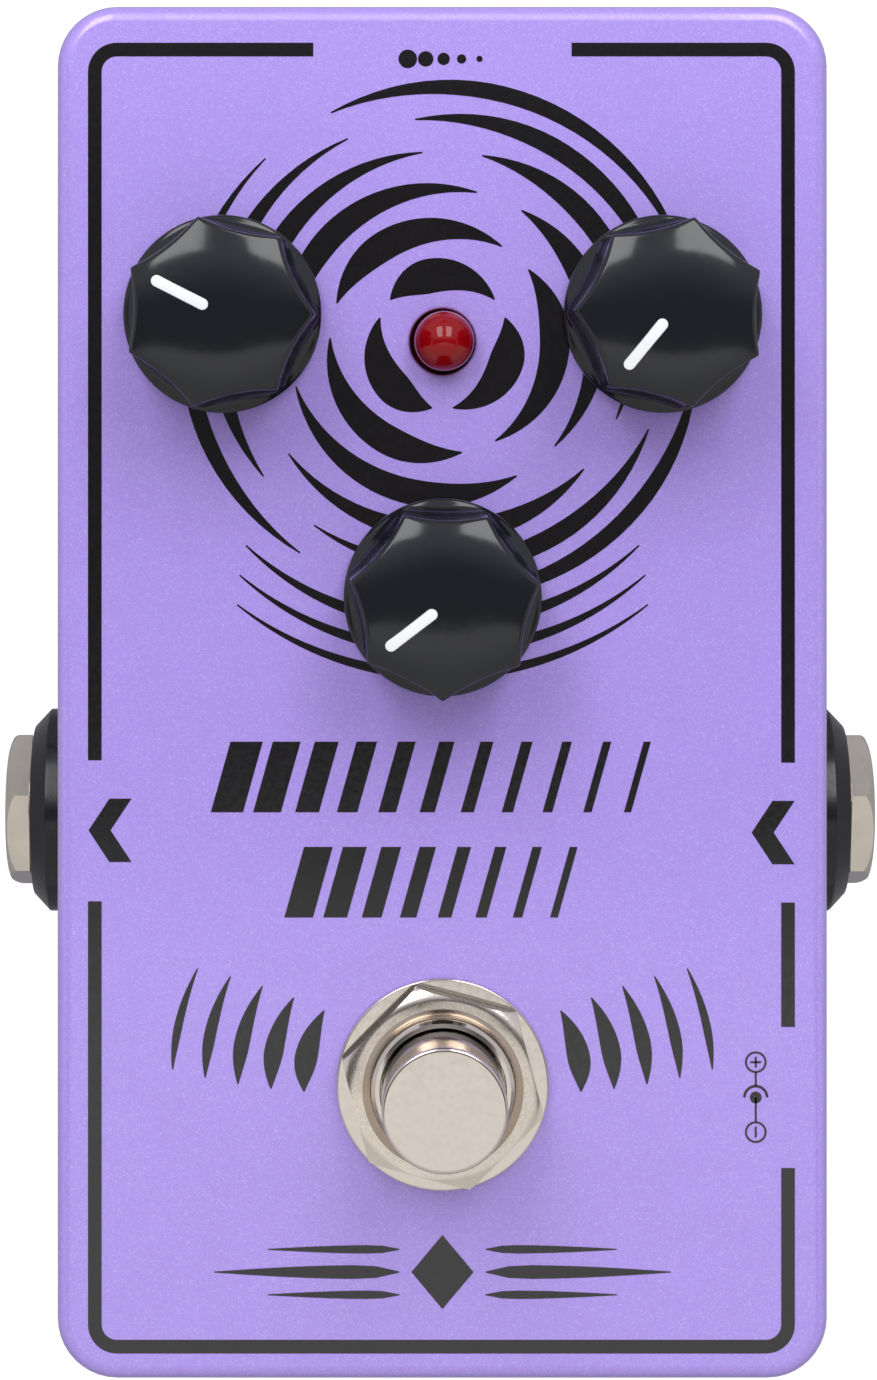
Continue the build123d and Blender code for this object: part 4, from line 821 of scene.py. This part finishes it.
def slot_ring(length, width, raised=0.0, z=None):
    """A ring round a bar with rounded ends along +X, on the dome or at one height."""
    ring = []
    for side in (1, -1):
        for step in range(13):
            angle = math.pi * (step / 12 - 0.5) + (0 if side > 0 else math.pi)
            x = POINTER_MIDDLE + side * (length - width) / 2 + width / 2 * math.cos(angle)
            y = width / 2 * math.sin(angle)
            ring.append((x, y, dome_z(math.hypot(x, y)) + raised if z is None else z))
    return ring


knob_black = finish("knob_black", colour("17181D"), 0.11, scale=1400.0, tone=0.06, speckle=0.05,
                    gloss_change=0.02, bump=0.0002)
pointer_white = finish("pointer_white", colour("F0F1F3"), 0.4, scale=2200.0, tone=0.03, bump=0.004)
for name, (x, y, heading) in KNOB_PLACES.items():
    placed = Matrix.Translation((x * MM, y * MM, 0)) @ Matrix.Rotation(math.radians(heading), 4, "Z")
    cap = knob_mesh(f"{name}_knob_cap")
    heights = (KNOB_TOP - POINTER_DEPTH - 0.05, KNOB_TOP + 1)
    groove = stacked("groove", [slot_ring(GROOVE_LENGTH, GROOVE_WIDTH, z=z) for z in heights])
    screw_way = turned("screw_way", [(SET_SCREW_R, SCREW_WAY_START), (SET_SCREW_R, SCREW_WAY_END)], count=32)
    cut(cap, groove, laid_sideways(screw_way, -1, 0, KNOB_BOTTOM + SET_SCREW_UP))
    cap.data.set_sharp_from_angle(angle=math.radians(40))
    cap.data.transform(placed)
    dressed(cap, knob_black, f"{name}_control", "knob_black", f"{name}_knob")
    bar_rings = [slot_ring(BAR_LENGTH, BAR_WIDTH, z=KNOB_TOP - POINTER_DEPTH)]
    bar_rings += [slot_ring(length, width, raised) for length, width, raised in BAR_EDGE]
    bar = stacked(f"{name}_knob_bar", bar_rings)
    bar.data.transform(placed)
    dressed(bar, pointer_white, f"{name}_control", "pointer_white", f"{name}_pointer")

# Indicator light: a 5 mm lens of clear red resin, dome up, pushed through a plain hole from inside.
# Its collar stays under the panel, and its dome stands above it.
LED_R, LED_COLLAR_R = 2.5, 2.9
LED_BASE, LED_SHOULDER = 33.5, 39.6
LED_X_OFF, LED_Y_OFF = 0.12, 0.04


def rolled(radius, z, bend, steps):
    """A quarter round in a profile, from its outer side up to its top."""
    angles = [math.pi / 2 * step / steps for step in range(steps + 1)]
    return [(radius + bend * math.cos(angle), z + bend * math.sin(angle)) for angle in angles]


led_profile = [(AXIS_R, LED_BASE), (LED_COLLAR_R, LED_BASE), (LED_COLLAR_R, LED_BASE + 1.0),
               (LED_R, LED_BASE + 1.05)]
led_profile += rolled(0.0, LED_SHOULDER, LED_R, 16)[:-1]
led_profile.append((0.03, LED_SHOULDER + LED_R))
led = turned("indicator_lens", led_profile, LED_X_OFF, LED_Y + LED_Y_OFF, count=80)
lens_red = finish("lens_red", colour("94020B"), 0.06, scale=500.0, tone=0.12, gloss_change=0.02, bump=0.0003,
                  IOR=1.42)
dressed(led, lens_red, "case", "lens_red", "led_lens")

# Foot switch: a nickel-plated push switch clamped through the panel by a washer and a hexagon nut.
# The flat round plunger slides in its threaded bushing.
WASHER_R, WASHER_BORE_R, WASHER_TOP = 8.85, 6.25, 38.5
BUSHING_R, BUSHING_BORE_R, BUSHING_TOP = 5.98, 5.2, 41.9
ROD_BORE_R, SEAT_Z, BUSHING_END = 2.58, 36.5, 34.6
CAP_R, CAP_EDGE_R, CAP_TOP = 5.1, 0.26, 51.5
ROD_R, ROD_END, CAP_BOTTOM = 2.5, 31.0, 40.0


def hexagon_nut(name, flats, height, bore_r, turn, sink, end_r, round_r, depth, count=288):
    """A nut on a round boss, up from z 0, with its bore countersunk by sink at its outer face.

    Outside end_r, the face falls to the corners in a dome, which would drop by depth over round_r."""
    boss_r, boss_height = flats * 0.44, 0.15

    def ring(radius_at, height_at):
        points = []
        for step in range(count):
            angle = math.tau * step / count
            reach = flats / 2 / math.cos(angle % (math.pi / 3) - math.pi / 6)
            radius, heading = radius_at(reach), angle + math.radians(turn)
            points.append((radius * math.cos(heading), radius * math.sin(heading), height_at(radius)))
        return points

    def level_rings(*profile):
        return [ring(lambda reach: radius, lambda radius: z) for radius, z in profile]

    def domed(radius):
        return height - depth * (1 - math.sqrt(1 - ((radius - end_r) / round_r) ** 2))

    rings = level_rings((bore_r, 0), (boss_r, 0), (boss_r, boss_height))
    rings.append(ring(lambda reach: reach, lambda radius: boss_height))
    for share in (1.0, 0.86, 0.7, 0.5, 0.25, 0.0):
        rings.append(ring(lambda reach: end_r + (reach - end_r) * share, domed))
    mouth_r = bore_r + sink
    rings += level_rings((mouth_r, height), (mouth_r - 0.03, height - 0.02), (bore_r, height - sink * 0.7))
    nut = stacked(name, rings, hollow=True, smooth_angle=24.0)
    flat_shaded(nut, 24.0)
    return nut


def threaded(crest, root, start, end, pitch, flat, flank, valley):
    """The profile of a thread from its start down past its end, with a groove at each pitch."""
    profile = []
    z = start
    while z > end:
        profile += [(crest, z), (crest, z - flat), (root, z - flank), (root, z - valley)]
        z -= pitch
    return profile


nickel = finish("nickel_plate", colour("D5CBC2"), 0.09, metallic=1.0, scale=1800.0, tone=0.012,
                gloss_change=0.03, bump=0.0002)
cast_nickel = finish("cast_nickel", colour("E0D5C9"), 0.17, metallic=1.0, scale=5200.0, tone=0.05,
                     gloss_change=0.05, bump=0.0002)

washer_profile = [(WASHER_BORE_R, PANEL_Z), (WASHER_R, PANEL_Z), (WASHER_R, WASHER_TOP),
                  (WASHER_BORE_R, WASHER_TOP)]
washer = turned("switch_flat_washer", eased(washer_profile, 0.16), 0, SWITCH_Y, hollow=True, count=128)
flat_shaded(washer)
dressed(washer, nickel, "case", "nickel", "switch_washer")
nut = hexagon_nut("switch_hexagon_nut", flats=15.0, height=2.5, bore_r=6.02, turn=45.0, sink=0.66,
                  end_r=7.3, round_r=1.9, depth=1.9)
nut.data.transform(Matrix.Translation((0, SWITCH_Y * MM, WASHER_TOP * MM)))
dressed(nut, cast_nickel, "case", "nickel", "switch_nut")

bushing_profile = [(BUSHING_BORE_R, SEAT_Z), (BUSHING_BORE_R, BUSHING_TOP - 0.1), (5.26, BUSHING_TOP),
                   (5.62, BUSHING_TOP), (5.76, 41.76), (5.9, 41.62), (5.9, 40.7)]
bushing_profile += threaded(BUSHING_R, root=5.66, start=40.6, end=35.4, pitch=0.75, flat=0.12, flank=0.37,
                            valley=0.42)
bushing_profile += [(BUSHING_R, BUSHING_END), (ROD_BORE_R, BUSHING_END), (ROD_BORE_R, SEAT_Z)]
bushing = turned("switch_threaded_bushing", bushing_profile, 0, SWITCH_Y, hollow=True, count=128,
                 smooth_angle=20.0)
dressed(bushing, nickel, "case", "nickel", "switch_bushing")

plunger_profile = [(AXIS_R, ROD_END), (ROD_R - 0.1, ROD_END), (ROD_R, ROD_END + 0.1), (ROD_R, CAP_BOTTOM),
                   (CAP_R - 0.15, CAP_BOTTOM), (CAP_R, CAP_BOTTOM + 0.15)]
plunger_profile += rolled(CAP_R - CAP_EDGE_R, CAP_TOP - CAP_EDGE_R, CAP_EDGE_R, 6)
plunger_profile += [(4.75, CAP_TOP), (AXIS_R, CAP_TOP)]
plunger = turned("switch_push_cap", plunger_profile, 0, SWITCH_Y, count=128, smooth_angle=50.0)
flat_shaded(plunger, 50.0)
dressed(plunger, nickel, "foot_plunger", "nickel", "switch_plunger")

# Jacks: a black conical bezel ring and a nickel hexagon nut on the threaded bushing of each quarter-inch
# jack. The bushings stand out through the side walls, from moulded bodies on a board inside.
WALL_X = 32.74
BEZEL_BORE_R, BEZEL_R, BEZEL_END_R, BEZEL_END = 4.75, 8.85, 7.36, 35.5
BORE_R, TUBE_R, TUBE_START, TUBE_END = 3.2, 4.48, 24.36, 37.75

bezel_black = finish("bezel_black", colour("101013"), 0.24, scale=1600.0, tone=0.1, bump=0.004)
for name, side, turn in (("left", -1, -14.5), ("right", 1, 14.9)):
    profile = [(BEZEL_BORE_R, WALL_X), (BEZEL_R, WALL_X), (BEZEL_R, 34.1), (BEZEL_END_R, BEZEL_END)]
    profile = eased(profile + [(BEZEL_BORE_R, BEZEL_END)], 0.1)
    bezel = turned(f"{name}_bezel_ring", profile, hollow=True, count=128)
    laid_sideways(bezel, side, JACK_Y, JACK_Z)
    flat_shaded(bezel)
    dressed(bezel, bezel_black, "case", "bezel_black", f"{name}_jack_bezel")
    hexagon = hexagon_nut(f"{name}_hexagon_nut", flats=12.0, height=2.3, bore_r=4.55, turn=turn + 30,
                          sink=0.15, end_r=4.75, round_r=2.4, depth=1.7)
    laid_sideways(hexagon, side, JACK_Y, JACK_Z, BEZEL_END)
    dressed(hexagon, cast_nickel, "case", "nickel", f"{name}_jack_nut")
    profile = [(BORE_R, TUBE_START), (BORE_R, TUBE_END - 0.2), (BORE_R + 0.2, TUBE_END), (4.3, TUBE_END),
               (4.45, TUBE_END - 0.15)]
    profile += threaded(TUBE_R, root=4.22, start=37.4, end=25.0, pitch=0.7, flat=0.1, flank=0.32,
                        valley=0.38)
    profile.append((TUBE_R, TUBE_START))
    tube = turned(f"{name}_threaded_tube", profile, hollow=True, count=80, smooth_angle=28.0)
    laid_sideways(tube, side, JACK_Y, JACK_Z)
    dressed(tube, nickel, "case", "nickel", f"{name}_jack_bushing")

# Inside: two boards with their parts, the pots, the switch body, the jack bodies and the power socket.
# They are seen through the holes and when the lid is off, and carry plain shop finishes.
part_black = finish("moulded_black", colour("1B1B1D"), 0.55, scale=1800.0, tone=0.12, speckle=0.15,
                    bump=0.015)
tinned_brass = finish("tinned_brass", colour("C9BFA4"), 0.3, metallic=1.0, scale=2200.0, tone=0.08,
                      bump=0.004)
spring_steel = finish("spring_steel", colour("A9A6A0"), 0.32, metallic=1.0, scale=2600.0, tone=0.08,
                      bump=0.004)
board_green = finish("board_green", colour("1F6B3A"), 0.35, scale=700.0, tone=0.14, speckle=0.1, bump=0.01,
                     coat=0.4)
switch_blue = finish("switch_blue", colour("2A4A98"), 0.45, scale=1500.0, tone=0.08, bump=0.012)
film_red = finish("film_red", colour("9C2A22"), 0.35, scale=1200.0, tone=0.1, bump=0.012)
resistor_beige = finish("resistor_beige", colour("C2A883"), 0.45, scale=1400.0, tone=0.1, bump=0.012)
finishes = {
    "box_paint": box_paint, "knob_black": knob_black, "pointer_white": pointer_white, "nickel": nickel,
    "bezel_black": bezel_black, "lens_red": lens_red, "foot_rubber": foot_rubber, "zinc_steel": zinc_steel,
    "spring_steel": spring_steel, "tinned_brass": tinned_brass, "board_green": board_green,
    "part_black": part_black, "switch_blue": switch_blue, "film_red": film_red,
    "resistor_beige": resistor_beige,
}
for item in frame["record"]["subparts"]:
    node = frame["nodes"][item["node"]]
    node.data.materials.clear()
    node.data.materials.append(finishes[item["material_slot"]])
